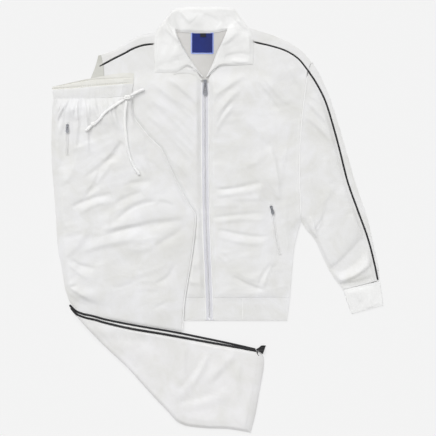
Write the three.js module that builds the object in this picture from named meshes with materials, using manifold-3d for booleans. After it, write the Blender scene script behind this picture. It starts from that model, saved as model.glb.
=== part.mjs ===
// A zip-up tracksuit jacket laid flat with its trousers folded across it.
// Millimetres, +Z up. X runs to the wearer's left of the jacket, Y towards the collar.
// The origin is on the surface it lies on, under the middle of the whole lay-out.

import * as THREE from 'three';
import { mergeVertices } from 'three/addons/utils/BufferGeometryUtils.js';
import Module from 'manifold-3d';

const wasm = await Module();
wasm.setup();

// Driving dimensions
const WALL = 1.5; // thickness of one layer of cloth
const GAP = 0.35; // air between two layers
const SEAM = 0.2; // half of the air between two pieces at a seam
const BACK_TOP = WALL; // top of the jacket's back on the surface
const FRONT = BACK_TOP + GAP + 0.15; // underside of the jacket's fronts
const FRONT_TOP = FRONT + WALL;
const OVER_JACKET = FRONT_TOP + 0.6; // underside of what lies on the flat jacket
const PIPING_WIDE = 4.2;
const PIPING_HIGH = 2.8;
const ZIP_HALF = 7.8; // from the zip's middle to each front edge
const COIL_WIDE = 4.6;
const CORD_DIAMETER = 6;
const WAIST_HIDDEN = 5.4; // the folded layers under the trousers' top panel
const LEG_HIDDEN = 4.6;

const MIDDLE = { x: -4.15, y: 1.75 }; // middle of the whole lay-out in the outlines' own coordinates

const group = new THREE.Group();
group.position.set(-MIDDLE.x, -MIDDLE.y, 0);

// Colours
const white = { color: 0xf1f1f2, roughness: 0.62, metalness: 0 };
const shaded = { color: 0xdedfe2, roughness: 0.7, metalness: 0 };
const black = { color: 0x141416, roughness: 0.6, metalness: 0 };
const lavender = { color: 0xc3c4d4, roughness: 0.55, metalness: 0 };
const gunmetal = { color: 0x5d6068, roughness: 0.32, metalness: 0.9 };
const blue = { color: 0x0c1f78, roughness: 0.6, metalness: 0 };

function add(name, geometry, look) {
  const mesh = new THREE.Mesh(geometry, new THREE.MeshStandardMaterial(look));
  mesh.name = name;
  group.add(mesh);
  return mesh;
}

// Small helpers
function smooth(a, b, x) {
  const t = Math.min(1, Math.max(0, (x - a) / (b - a)));
  return t * t * (3 - 2 * t);
}

function mix(a, b, t) {
  return a + (b - a) * t;
}

// Points along a smooth curve through the given points, in equal steps
function along(points, steps) {
  const curve = new THREE.CatmullRomCurve3(points.map(([x, y]) => new THREE.Vector3(x, y, 0)), false, 'centripetal');
  return curve.getSpacedPoints(steps).map((p) => [p.x, p.y]);
}

function join(...runs) {
  return runs.flatMap((run, i) => (i === 0 ? run : run.slice(1)));
}

// A line moved sideways: a positive distance is to the right of its direction
function offset(line, distance) {
  return line.map((point, i) => {
    const a = line[Math.max(0, i - 1)];
    const b = line[Math.min(line.length - 1, i + 1)];
    const length = Math.hypot(b[0] - a[0], b[1] - a[1]);
    return [point[0] + ((b[1] - a[1]) / length) * distance, point[1] - ((b[0] - a[0]) / length) * distance];
  });
}

// A grid of points filled in between four edges: rows run from top to bottom
function fill(top, bottom, left, right) {
  const across = top.length - 1;
  const down = left.length - 1;
  const rows = [];
  for (let j = 0; j <= down; j += 1) {
    const v = j / down;
    const row = [];
    for (let i = 0; i <= across; i += 1) {
      const u = i / across;
      row.push([0, 1].map((k) => (1 - v) * top[i][k] + v * bottom[i][k] + (1 - u) * left[j][k] + u * right[j][k]
        - (1 - u) * (1 - v) * top[0][k] - u * (1 - v) * top[across][k]
        - (1 - u) * v * bottom[0][k] - u * v * bottom[across][k]));
    }
    rows.push(row);
  }
  return rows;
}

// A grid between two rails, with the columns at the given shares of the way
function between(railA, railB, shares) {
  return railA.map((a, j) => shares.map((u) => [mix(a[0], railB[j][0], u), mix(a[1], railB[j][1], u)]));
}

// The outer points of a grid drawn in by half of the seam's air
function inset(grid, distance) {
  const down = grid.length - 1;
  const across = grid[0].length - 1;
  return grid.map((row, j) => row.map((point, i) => {
    const [x, y] = point;
    let dx = 0;
    let dy = 0;
    const pull = (other) => {
      const length = Math.hypot(other[0] - x, other[1] - y) || 1;
      const step = Math.min(distance, length * 0.3);
      dx += ((other[0] - x) / length) * step;
      dy += ((other[1] - y) / length) * step;
    };
    if (i === 0) pull(grid[j][1]);
    if (i === across) pull(grid[j][across - 1]);
    if (j === 0) pull(grid[1][i]);
    if (j === down) pull(grid[down - 1][i]);
    return [x + dx, y + dy];
  }));
}

// A closed wall of cloth over a grid, from its underside to its top
function wall(grid, under, top, air = SEAM) {
  const points = inset(grid, air);
  const down = points.length;
  const across = points[0].length;
  const position = [];
  for (const side of [under, top]) {
    points.forEach((row, j) => row.forEach(([x, y], i) => {
      position.push(x, y, side(x, y, i / (across - 1), j / (down - 1)));
    }));
  }
  const at = (side, j, i) => side * down * across + j * across + i;
  const index = [];
  const quad = (a, b, c, d) => index.push(a, b, c, a, c, d);
  for (let j = 0; j < down - 1; j += 1) {
    for (let i = 0; i < across - 1; i += 1) {
      quad(at(1, j, i), at(1, j + 1, i), at(1, j + 1, i + 1), at(1, j, i + 1));
      quad(at(0, j, i), at(0, j, i + 1), at(0, j + 1, i + 1), at(0, j + 1, i));
    }
  }
  for (let i = 0; i < across - 1; i += 1) {
    quad(at(1, 0, i), at(1, 0, i + 1), at(0, 0, i + 1), at(0, 0, i));
    quad(at(1, down - 1, i + 1), at(1, down - 1, i), at(0, down - 1, i), at(0, down - 1, i + 1));
  }
  for (let j = 0; j < down - 1; j += 1) {
    quad(at(1, j + 1, 0), at(1, j, 0), at(0, j, 0), at(0, j + 1, 0));
    quad(at(1, j, across - 1), at(1, j + 1, across - 1), at(0, j + 1, across - 1), at(0, j, across - 1));
  }
  // Grids drawn in the other sense are turned so that every face points out
  let sense = 0;
  for (let j = 0; j < down - 1; j += 1) {
    const [p, q, r, t] = [points[j][0], points[j + 1][0], points[j][across - 1], points[j + 1][across - 1]];
    sense += (t[0] - p[0]) * (r[1] - q[1]) - (t[1] - p[1]) * (r[0] - q[0]);
  }
  if (sense < 0) index.reverse();
  const geometry = new THREE.BufferGeometry();
  geometry.setAttribute('position', new THREE.Float32BufferAttribute(position, 3));
  geometry.setIndex(index);
  geometry.computeVertexNormals();
  return geometry;
}

// A soft cord of oval section along points in space
function oval(path, wide, high, sides) {
  const position = [];
  const index = [];
  path.forEach((point, j) => {
    const a = path[Math.max(0, j - 1)];
    const b = path[Math.min(path.length - 1, j + 1)];
    const length = Math.hypot(b[0] - a[0], b[1] - a[1]);
    const sx = (b[1] - a[1]) / length;
    const sy = -(b[0] - a[0]) / length;
    for (let i = 0; i < sides; i += 1) {
      const angle = (2 * Math.PI * i) / sides;
      const side = (Math.cos(angle) * wide) / 2;
      position.push(point[0] + sx * side, point[1] + sy * side, point[2] + (Math.sin(angle) * high) / 2);
    }
  });
  const last = path.length - 1;
  for (let j = 0; j < last; j += 1) {
    for (let i = 0; i < sides; i += 1) {
      const k = (i + 1) % sides;
      const [a, b, c, d] = [j * sides + i, j * sides + k, (j + 1) * sides + k, (j + 1) * sides + i];
      index.push(a, c, b, a, d, c);
    }
  }
  for (let i = 1; i < sides - 1; i += 1) {
    index.push(0, i, i + 1);
    index.push(last * sides, last * sides + i + 1, last * sides + i);
  }
  const geometry = new THREE.BufferGeometry();
  geometry.setAttribute('position', new THREE.Float32BufferAttribute(position, 3));
  geometry.setIndex(index);
  geometry.computeVertexNormals();
  return geometry;
}

// Folds: x1, y1 to x2, y2 with a bend to one side, how high and how wide each is
const JACKET_FOLDS = [
  { x1: 20, y1: 305, x2: -8, y2: 225, bend: 6, high: 3.6, wide: 9 },
  { x1: -60, y1: 300, x2: -42, y2: 190, bend: -8, high: 3.4, wide: 8 },
  { x1: 88, y1: 345, x2: 158, y2: 258, bend: 4, high: 3.2, wide: 11 },
  { x1: 132, y1: 156, x2: 140, y2: 66, bend: -6, high: 3.6, wide: 9 },
  { x1: 176, y1: 250, x2: 150, y2: 130, bend: 10, high: 2.6, wide: 12 },
  { x1: -6, y1: 92, x2: 96, y2: 76, bend: 4, high: 4.6, wide: 9 },
  { x1: -4, y1: 60, x2: 88, y2: 42, bend: -4, high: 3.4, wide: 9 },
  { x1: 0, y1: 22, x2: 66, y2: 6, bend: 5, high: 2.8, wide: 9 },
  { x1: -10, y1: -86, x2: 18, y2: -112, bend: 2, high: 2.4, wide: 7 },
  { x1: 50, y1: -142, x2: 112, y2: -98, bend: -3, high: 3.2, wide: 9 },
  { x1: 52, y1: -146, x2: 124, y2: -160, bend: 3, high: 3, wide: 8 },
  { x1: 170, y1: 20, x2: 150, y2: -130, bend: 8, high: 2.6, wide: 12 },
];

const SLEEVE_FOLDS = [
  { x1: 232, y1: 320, x2: 262, y2: 232, bend: 4, high: 3, wide: 10 },
  { x1: 232, y1: 84, x2: 282, y2: 34, bend: 4, high: 3.4, wide: 9 },
  { x1: 246, y1: 14, x2: 238, y2: -26, bend: -4, high: 2.6, wide: 8 },
  { x1: 278, y1: -124, x2: 350, y2: -46, bend: 6, high: 4.6, wide: 11 },
  { x1: 300, y1: -146, x2: 372, y2: -122, bend: -3, high: 3, wide: 8 },
  { x1: 268, y1: 205, x2: 294, y2: 150, bend: 3, high: 2.4, wide: 8 },
];

const LEG_FOLDS = [
  { x1: -358, y1: 40, x2: -266, y2: 82, bend: -8, high: 4.2, wide: 12 },
  { x1: -258, y1: 8, x2: -112, y2: 42, bend: -8, high: 4.6, wide: 13 },
  { x1: -290, y1: -40, x2: -78, y2: 2, bend: -10, high: 5, wide: 13 },
  { x1: -380, y1: -72, x2: -298, y2: -120, bend: 12, high: 4, wide: 12 },
  { x1: -168, y1: -114, x2: -102, y2: -162, bend: 5, high: 3.2, wide: 10 },
  { x1: -338, y1: 215, x2: -234, y2: 84, bend: 10, high: 3.6, wide: 14 },
  { x1: -300, y1: 196, x2: -196, y2: 92, bend: 6, high: 3, wide: 12 },
];

const GATHERS = [-398, -384, -368, -350, -336, -318, -302, -284, -262, -244].map((x, i) => (
  { x1: x, y1: 296, x2: x + 6 + (i % 3) * 5, y2: 262 - (i % 4) * 12, bend: 1, high: 2.4 - (i % 3) * 0.5, wide: 4.5 }
));

const FLAP_FOLDS = [
  { x1: -92, y1: -330, x2: -20, y2: -440, bend: 6, high: 3.6, wide: 14 },
  { x1: -30, y1: -345, x2: 40, y2: -430, bend: -6, high: 3, wide: 13 },
  { x1: -190, y1: -300, x2: -130, y2: -400, bend: 8, high: 3.4, wide: 13 },
  { x1: 20, y1: -450, x2: 78, y2: -500, bend: 4, high: 2.6, wide: 10 },
  { x1: -280, y1: -272, x2: -216, y2: -336, bend: -5, high: 2.6, wide: 11 },
];

// How far a fold lifts the cloth at a point
function lift(folds, x, y) {
  let height = 0;
  for (const fold of folds) {
    const dx = fold.x2 - fold.x1;
    const dy = fold.y2 - fold.y1;
    const length = Math.hypot(dx, dy);
    const t = ((x - fold.x1) * dx + (y - fold.y1) * dy) / (length * length);
    const share = Math.min(1, Math.max(0, t));
    const beyond = Math.abs(t - share) * length;
    const aside = ((x - fold.x1) * dy - (y - fold.y1) * dx) / length - fold.bend * 4 * share * (1 - share);
    const taper = Math.sqrt(Math.max(0, 4 * share * (1 - share))) * 0.85 + 0.15;
    const width = fold.wide * (0.7 + 0.5 * share);
    const away = (aside * aside) / (width * width) + (beyond * beyond) / (width * width);
    height += fold.high * taper * Math.exp(-away);
  }
  return height;
}

// The zip's middle line, leaning a little
const ZIP = [[-34, 344], [-34, 205], [-32, 13], [-26, -146], [-24, -191], [-23, -248]];
const zipLine = along(ZIP, 60);

function zipX(y) {
  const next = zipLine.findIndex((point) => point[1] <= y);
  const k = Math.max(1, next < 0 ? zipLine.length - 1 : next);
  const [a, b] = [zipLine[k - 1], zipLine[k]];
  return mix(a[0], b[0], (a[1] - y) / (a[1] - b[1]));
}

// The trousers' right edge: the front rise, then the inseam
const RISE = [[-216, 304], [-208, 254], [-191, 229], [-169, 202], [-142, 175], [-130, 153], [-115, 119], [-96, 80],
  [-76, 43], [-58, 16]];
const INSEAM = [[-58, 16], [-59, -9], [-65, -67], [-76, -137], [-86, -200], [-90.3, -273.8]];
const trouserEdge = join(along(RISE, 10), along(INSEAM, 9));

function trouserEdgeX(y) {
  if (y > trouserEdge[0][1]) return trouserEdge[0][0] - (y - trouserEdge[0][1]) * 0.1;
  const k = Math.max(1, trouserEdge.findIndex((point) => point[1] <= y));
  if (trouserEdge[k][1] > y) return trouserEdge[trouserEdge.length - 1][0];
  const [a, b] = [trouserEdge[k - 1], trouserEdge[k]];
  return mix(a[0], b[0], (a[1] - y) / (a[1] - b[1]));
}

// Height of the jacket's front above its flat state: 0 under the trousers, collar and outer edges
const BODY_SIDE = [[201, -1], [185, -65], [178, -138], [174, -191], [167, -247]];
const bodySide = along(BODY_SIDE, 20);

function sideX(y) {
  if (y > -1) return 400;
  const k = Math.max(1, bodySide.findIndex((point) => point[1] <= y));
  const [a, b] = [bodySide[k - 1], bodySide[k]];
  return mix(a[0], b[0], (a[1] - y) / (a[1] - b[1]));
}

function jacketLift(x, y) {
  const clear = smooth(6, 34, x - trouserEdgeX(y));
  const collar = 1 - smooth(330, 372, y + Math.max(0, x - 90) * 0.35);
  const side = smooth(0, 16, sideX(y) - x);
  const zip = smooth(11, 26, Math.abs(x - zipX(y)));
  const hem = smooth(-246, -232, y);
  const pocket = smooth(6, 20, Math.abs(x - (126 - (y - 38) * 0.19))) + smooth(48, 68, y) + smooth(-92, -112, y);
  const puff = 1.2 * smooth(-248, -170, y) * smooth(0, 60, sideX(y) - x);
  return clear * collar * side * zip * hem * Math.min(1, pocket) * (lift(JACKET_FOLDS, x, y) + puff);
}

// Jacket body
const ARMHOLE = [[218, 366], [210, 305], [200, 205], [198, 124], [201, -1]];
const ARMHOLE_RIGHT = [[-284, 381], [-277, 305], [-267, 205], [-265, 124], [-266, -1]];
const SIDE = [[201, -1], [185, -65], [178, -138], [174, -190]];
const SIDE_RIGHT = [[-266, -1], [-247, -65], [-238, -138], [-230, -190]];
const SHOULDER = [[66, 447], [83, 439], [124, 429], [164, 416], [194, 397], [218, 368]];
const SHOULDER_RIGHT = [[-145, 434], [-158, 433], [-186, 430], [-212, 421], [-230, 411], [-258, 397], [-284, 383]];
const OUTLINE_LEFT = [[47, 486], [69, 475], [139, 452], [175, 435], [203, 416], [228, 388]];
const OUTLINE_RIGHT = [[-150, 462], [-162, 462], [-188, 456], [-221, 441], [-255, 419], [-288, 407]];
const pipingHalf = PIPING_WIDE / 2 + SEAM;

const backTop = join(
  along([...OUTLINE_RIGHT].reverse(), 4),
  along([OUTLINE_RIGHT[0], [-100, 482], [-34, 487], [20, 486], OUTLINE_LEFT[0]], 3),
  along(OUTLINE_LEFT, 4),
);
const armholeLeft = along(ARMHOLE, 10);
const armholeRight = along(ARMHOLE_RIGHT, 10);
const everySecond = (line) => line.filter((point, i) => i % 2 === 0);
const backLeft = join([OUTLINE_RIGHT[5], ARMHOLE_RIGHT[0]], everySecond(armholeRight), along(SIDE_RIGHT, 4));
const backRight = join([OUTLINE_LEFT[5], ARMHOLE[0]], everySecond(armholeLeft), along(SIDE, 4));
const backBottom = along([SIDE_RIGHT[3], [-24, -190], SIDE[3]], backTop.length - 1);
add('jacket_back', wall(fill(backTop, backBottom, backLeft, backRight), () => 0, () => BACK_TOP), shaded);

const frontUnder = (x, y) => FRONT + jacketLift(x, y);
const frontTop = (x, y) => FRONT_TOP + jacketLift(x, y);

const frontLeftTop = join(
  along([[zipX(341) + ZIP_HALF, 341], [0, 385], [50, 438], [66, 444.4]], 6),
  offset(along(SHOULDER, 10), pipingHalf),
);
const frontLeftEdge = along([340, 300, 205, 110, 13, -70, -146, -190].map((y) => [zipX(y) + ZIP_HALF, y]), 20);
const frontLeftSide = join([frontLeftTop[frontLeftTop.length - 1], armholeLeft[1]], armholeLeft.slice(1),
  along(SIDE, 10));
const frontLeftBottom = along([frontLeftEdge[20], [80, -190], SIDE[3]], frontLeftTop.length - 1);
add('jacket_front_left', wall(fill(frontLeftTop, frontLeftBottom,
  [frontLeftTop[0], ...frontLeftEdge.slice(1)], frontLeftSide), frontUnder, frontTop), white);

const frontRightTop = join(
  offset(along([...SHOULDER_RIGHT].reverse(), 10), pipingHalf),
  along([[-145, 431.5], [-125, 428], [-72, 385], [zipX(341) - ZIP_HALF, 341]], 5),
);
const frontRightEdge = along([341, 300, 205, 110, 13, -70, -146, -190].map((y) => [zipX(y) - ZIP_HALF, y]), 19);
const frontRightSide = join([frontRightTop[0], armholeRight[1]], armholeRight.slice(1), along(SIDE_RIGHT, 9));
const frontRightBottom = along([SIDE_RIGHT[3], [-120, -190], frontRightEdge[19]], frontRightTop.length - 1);
add('jacket_front_right', wall(fill(frontRightTop, frontRightBottom, frontRightSide,
  [frontRightTop[frontRightTop.length - 1], ...frontRightEdge.slice(1)]), frontUnder, frontTop), white);

// The back's shoulders turned over to the front
const flatUnder = () => FRONT;
const roundedTop = (x, y, u, v) => FRONT_TOP - 0.5 * smooth(0.4, 0, v);
add('jacket_shoulder_left', wall(fill(along(OUTLINE_LEFT, 10), offset(along(SHOULDER, 10), -pipingHalf),
  [OUTLINE_LEFT[0], [54, 468], offset(along(SHOULDER, 10), -pipingHalf)[0]],
  [OUTLINE_LEFT[5], [223, 380], offset(along(SHOULDER, 10), -pipingHalf)[10]]), flatUnder, roundedTop), white);
const rightShoulderTop = along([...OUTLINE_RIGHT].reverse(), 10);
const rightShoulderBottom = offset(along([...SHOULDER_RIGHT].reverse(), 10), -pipingHalf);
add('jacket_shoulder_right', wall(fill(rightShoulderTop, rightShoulderBottom,
  [rightShoulderTop[0], [-287, 397], rightShoulderBottom[0]],
  [rightShoulderTop[10], [-149, 449], rightShoulderBottom[10]]), flatUnder, roundedTop), white);

// Left sleeve
const PIPING_LEFT = [[218, 368], [238, 338], [260, 295], [280, 232], [296, 173], [316, 94], [340, 26], [365, -43],
  [381, -104], [390, -148]];
const SLEEVE_INNER = [[201, -1], [214, -22], [232, -43], [254, -88], [275, -130], [304, -170]];
const SLEEVE_OUTER = [[228, 388], [239, 373], [268, 312], [292, 240], [311, 175], [333, 99], [365, 2], [382, -72],
  [392, -121], [395, -149]];
const sleevePiping = along(PIPING_LEFT, 24);
const sleeveInner = join(armholeLeft.slice(1), along(SLEEVE_INNER, 14));

function sleeveLift(x, y) {
  const body = smooth(2, 16, x - 199) + smooth(0, -40, y);
  const edge = smooth(3, 22, 236 + (366 - y) * 0.325 - x);
  return Math.min(1, body) * edge * smooth(-150, -134, y + (x - 304) * 0.23) * (lift(SLEEVE_FOLDS, x, y) + 0.8);
}

const sleeveRails = [[[217, 360.6], ...sleeveInner], offset(sleevePiping, pipingHalf)];
sleeveRails[1][0] = [218.9, 361.2];
add('jacket_sleeve_left_front', wall(between(sleeveRails[0], sleeveRails[1],
  [0, 0.1, 0.25, 0.42, 0.6, 0.78, 0.92, 1]), (x, y) => FRONT + sleeveLift(x, y),
(x, y) => FRONT_TOP + sleeveLift(x, y)), white);

const stripEnd = 20;
const sleeveStripOuter = along(SLEEVE_OUTER, 24).slice(0, stripEnd);
const sleeveStripInner = offset(sleevePiping, -pipingHalf).slice(0, stripEnd);
add('jacket_sleeve_left_strip', wall(between(sleeveStripInner, sleeveStripOuter, [0, 0.5, 1]), flatUnder,
  (x, y, u) => FRONT_TOP - 0.5 * u), white);

const sleeveBackInner = join([OUTLINE_LEFT[5], ARMHOLE[0]], everySecond(armholeLeft), along(SLEEVE_INNER, 7));
add('jacket_sleeve_left_back', wall(between(sleeveBackInner, along(SLEEVE_OUTER, sleeveBackInner.length - 1)
  .map((point, i) => (i === 0 ? [229, 388.6] : point)), [0, 0.5, 1]), () => 0, () => BACK_TOP), white);

const CUFF = { top: [[304, -170], [349, -159.5], [395, -149]], bottom: [[325, -229], [364, -219], [403, -208]] };
const RIBS = 13;
const cuffTop = along(CUFF.top, RIBS * 2);
const cuffBottom = along(CUFF.bottom, RIBS * 2);
const cuffGrid = [0, 0.1, 0.9, 1].map((v) => cuffTop.map((p, i) => [mix(p[0], cuffBottom[i][0], v),
  mix(p[1], cuffBottom[i][1], v)]));
add('jacket_cuff_left_front', wall(cuffGrid, flatUnder,
  (x, y, u) => FRONT_TOP + 0.2 + 0.45 * Math.cos(Math.PI * Math.round(u * RIBS * 2))), white);
add('jacket_cuff_left_back', wall(between(along(CUFF.top, 4), along(CUFF.bottom, 4), [0, 0.5, 1]), () => 0,
  () => BACK_TOP), white);

// Right sleeve, folded down behind the body: two layers as one rounded piece
const RIGHT_SLEEVE_OUTER = [[-296, 405], [-303, 380], [-314, 352], [-328, 320], [-341, 271], [-347, 150], [-348, 0],
  [-344, -120], [-338, -190]];
const rightSleeveInner = join([[-289.4, 406.4], ARMHOLE_RIGHT[0]], everySecond(armholeRight), along([[-266, -1],
  [-264, -100], [-262, -190]], 4));
add('jacket_sleeve_right', wall(between(along(RIGHT_SLEEVE_OUTER, rightSleeveInner.length - 1), rightSleeveInner,
  [0, 0.06, 0.2, 0.6, 1]), () => 0, (x, y, u) => FRONT_TOP - 1.4 * smooth(0.2, 0, u)), white);

// Hem band: a plain end beside the zip, then the elastic part
const HEM = { top: -190, bottom: -246, leftEnd: 58, rightEnd: -106 };
const bandEdge = (y) => (y === HEM.top ? 174 : 167);

function strip(x1, x2, x3, x4, cells) {
  return fill(along([[x1, HEM.top], [x2, HEM.top]], cells), along([[x3, HEM.bottom], [x4, HEM.bottom]], cells),
    along([[x1, HEM.top], [x3, HEM.bottom]], 4), along([[x2, HEM.top], [x4, HEM.bottom]], 4));
}

add('jacket_hem_end_left', wall(strip(zipX(-190) + ZIP_HALF, HEM.leftEnd, zipX(-246) + ZIP_HALF, HEM.leftEnd, 4),
  frontUnder, frontTop), white);
add('jacket_hem_band_left', wall(strip(HEM.leftEnd, bandEdge(HEM.top), HEM.leftEnd, bandEdge(HEM.bottom), 10),
  frontUnder, frontTop), white);
add('jacket_hem_end_right', wall(strip(HEM.rightEnd, zipX(-190) - ZIP_HALF, HEM.rightEnd, zipX(-246) - ZIP_HALF, 4),
  frontUnder, frontTop), white);
add('jacket_hem_band_right', wall(strip(-230, HEM.rightEnd, -222, HEM.rightEnd, 3), flatUnder,
  () => FRONT_TOP), white);
add('jacket_hem_band_back', wall(strip(-230, 174, -222, 167, 4), () => 0, () => BACK_TOP), white);

// Piping
const pipingZ = BACK_TOP + 0.3 + PIPING_HIGH / 2;
const shoulderPiping = [[87, 438.2], ...along(SHOULDER, 10).slice(2)].map(([x, y]) => [x, y, pipingZ]);
const shoulderPipingRight = [[-162, 432.9], ...along(SHOULDER_RIGHT, 10).slice(2)];
const armPiping = sleevePiping.slice(0, 24).map(([x, y]) => [x, y, pipingZ]);
add('jacket_piping_left', oval([...shoulderPiping, ...armPiping.slice(1)], PIPING_WIDE, PIPING_HIGH, 6), black);
add('jacket_piping_right', oval(shoulderPipingRight.map(([x, y]) => [x, y, pipingZ]), PIPING_WIDE,
  PIPING_HIGH, 6), black);

// Collar: a band across the back of the neck, and a fall on each side of the opening
const ROLL_LEFT = [[20, 467], [8, 440], [-4, 415], [-20, 376], [-33, 350]];
const FALL_LEFT = [[39, 519], [59, 491], [76, 468], [82, 450], [84, 430], [84, 383]];
const FALL_LEFT_END = [[-33, 350], [-14, 367], [2, 377], [40, 380], [84, 383]];
const ROLL_RIGHT = [[-105, 463], [-99, 446], [-81, 413], [-56, 376], [-37, 350]];
const FALL_RIGHT = [[-116, 515], [-135, 490], [-152, 467], [-158, 448], [-158, 374]];
const FALL_RIGHT_END = [[-37, 350], [-60, 378], [-83, 392], [-115, 375], [-158, 374]];
// Where the back of the collar passes into each fall, from the roll to the outer edge
const TURN_LEFT = [[20, 467], [39, 519]];
const TURN_RIGHT = [[-105, 463], [-116, 490], [-116, 515]];
const TURN_STEPS = 7;

function fallUnder(w, v) {
  return mix(BACK_TOP + GAP + 1.9 * w, OVER_JACKET, smooth(0, 0.22, v));
}

function fallTop(w, v) {
  const roll = 1.6 * smooth(0, 0.1, w) * (1 - smooth(0.12, 0.75, w)) + 1.4 * smooth(1, 0.9, w);
  return fallUnder(w, v) + 1.7 + roll * smooth(1, 0.9, v);
}

const turnLeft = along(TURN_LEFT, TURN_STEPS);
const turnRight = along(TURN_RIGHT, TURN_STEPS);
add('jacket_collar_left', wall(fill(turnLeft, along(FALL_LEFT_END, TURN_STEPS), along(ROLL_LEFT, 8),
  along(FALL_LEFT, 8)), (x, y, u, v) => fallUnder(u, v), (x, y, u, v) => fallTop(u, v)), white);
add('jacket_collar_right', wall(fill([...turnRight].reverse(), along([...FALL_RIGHT_END].reverse(), TURN_STEPS),
  along(FALL_RIGHT, 8), along(ROLL_RIGHT, 8)), (x, y, u, v) => fallUnder(1 - u, v),
(x, y, u, v) => fallTop(1 - u, v)), white);
const bandTop = along([[-116, 515], [-96, 522], [-34, 524], [22, 523], [39, 519]], 8);
const bandBottom = along([[-105, 463], [-72, 460], [-34, 459], [-6, 461], [20, 467]], 8);
add('jacket_collar_back', wall(fill(turnRight, turnLeft, bandBottom, bandTop), (x, y, u) => fallUnder(u, 0),
  (x, y, u) => fallTop(u, 0)), shaded);
add('jacket_collar_stand_right', wall(fill(along([[-119, 372], [-83, 390], [-60, 376], [-39, 348]], 8),
  along([[-119, 368], [-90, 367.5], [-64, 366], [-42, 343]], 8), [[-119, 372], [-119, 370], [-119, 368]],
[[-39, 348], [-40.5, 345.5], [-42, 343]]), () => OVER_JACKET, () => OVER_JACKET + 1, 0.7), shaded);

// Bare neck label and bare size tab
const LABEL = { x: -41, y: 433, wide: 52, high: 51, tab: [14, 9] };

function plate(x, y, wide, high, z1, z2) {
  const grid = fill(along([[x - wide / 2, y + high / 2], [x + wide / 2, y + high / 2]], 2),
    along([[x - wide / 2, y - high / 2], [x + wide / 2, y - high / 2]], 2),
    along([[x - wide / 2, y + high / 2], [x - wide / 2, y - high / 2]], 2),
    along([[x + wide / 2, y + high / 2], [x + wide / 2, y - high / 2]], 2));
  return wall(grid, () => z1, () => z2, 0);
}

add('jacket_neck_label', plate(LABEL.x, LABEL.y, LABEL.wide, LABEL.high, BACK_TOP + 0.3, BACK_TOP + 1.2), blue);
add('jacket_size_tab', plate(LABEL.x + 2, LABEL.y + LABEL.high / 2 - LABEL.tab[1] / 2, LABEL.tab[0], LABEL.tab[1],
  BACK_TOP + 1.5, BACK_TOP + 2.2), black);

// Front zip: two tapes, a coil and a bottom stop
const tapeRows = [338, 280, 205, 110, 13, -70, -146, -190, -245];
for (const [name, side] of [['left', 1], ['right', -1]]) {
  const inner = along(tapeRows.map((y) => [zipX(y) + side * (COIL_WIDE / 2 + 0.1), y]), 22);
  const outer = along(tapeRows.map((y) => [zipX(y) + side * (ZIP_HALF - 0.1), y]), 22);
  add(`zip_tape_${name}`, wall(between(inner, outer, [0, 1]), () => FRONT_TOP - 0.1, () => FRONT_TOP + 0.9), lavender);
}
const coilRows = [328, 280, 205, 110, 13, -70, -146, -190, -238];
add('zip_coil', wall(between(along(coilRows.map((y) => [zipX(y) - COIL_WIDE / 2, y]), 22),
  along(coilRows.map((y) => [zipX(y) + COIL_WIDE / 2, y]), 22), [0, 0.5, 1]), () => FRONT_TOP - 0.4,
(x, y, u) => FRONT_TOP + 1.2 - 0.3 * Math.abs(2 * u - 1)), lavender);
add('zip_bottom_stop', plate(zipX(-241), -242, 4.4, 5, FRONT_TOP - 0.6, FRONT_TOP + 2.2), gunmetal);

// A solid for cutting and joining
function solid(geometry) {
  const bare = geometry.clone();
  bare.deleteAttribute('normal');
  bare.deleteAttribute('uv');
  const merged = mergeVertices(bare);
  return new wasm.Manifold(new wasm.Mesh({
    numProp: 3,
    vertProperties: new Float32Array(merged.attributes.position.array),
    triVerts: new Uint32Array(merged.index.array),
  }));
}

function meshOf(manifold) {
  const mesh = manifold.getMesh();
  const geometry = new THREE.BufferGeometry();
  geometry.setAttribute('position', new THREE.BufferAttribute(new Float32Array(mesh.vertProperties), 3));
  geometry.setIndex(new THREE.BufferAttribute(new Uint32Array(mesh.triVerts), 1));
  geometry.computeVertexNormals();
  return geometry;
}

function rounded(wideTop, wideBottom, long, corner) {
  const shape = new THREE.Shape();
  shape.moveTo(-wideTop / 2 + corner, long / 2);
  shape.lineTo(wideTop / 2 - corner, long / 2);
  shape.quadraticCurveTo(wideTop / 2, long / 2, wideTop / 2, long / 2 - corner);
  shape.lineTo(wideBottom / 2, -long / 2 + corner);
  shape.quadraticCurveTo(wideBottom / 2, -long / 2, wideBottom / 2 - corner, -long / 2);
  shape.lineTo(-wideBottom / 2 + corner, -long / 2);
  shape.quadraticCurveTo(-wideBottom / 2, -long / 2, -wideBottom / 2, -long / 2 + corner);
  shape.lineTo(-wideTop / 2, long / 2 - corner);
  shape.quadraticCurveTo(-wideTop / 2, long / 2, -wideTop / 2 + corner, long / 2);
  return shape;
}

// The slider's body with the bridge that holds its pull: the pull hangs from the bridge at the origin
const BRIDGE = { half: 3.6, high: 2.6, bar: 1, wide: 1.6 };
const PIVOT_HIGH = 1.25; // the pull's hinge above the slider's top plate

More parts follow.
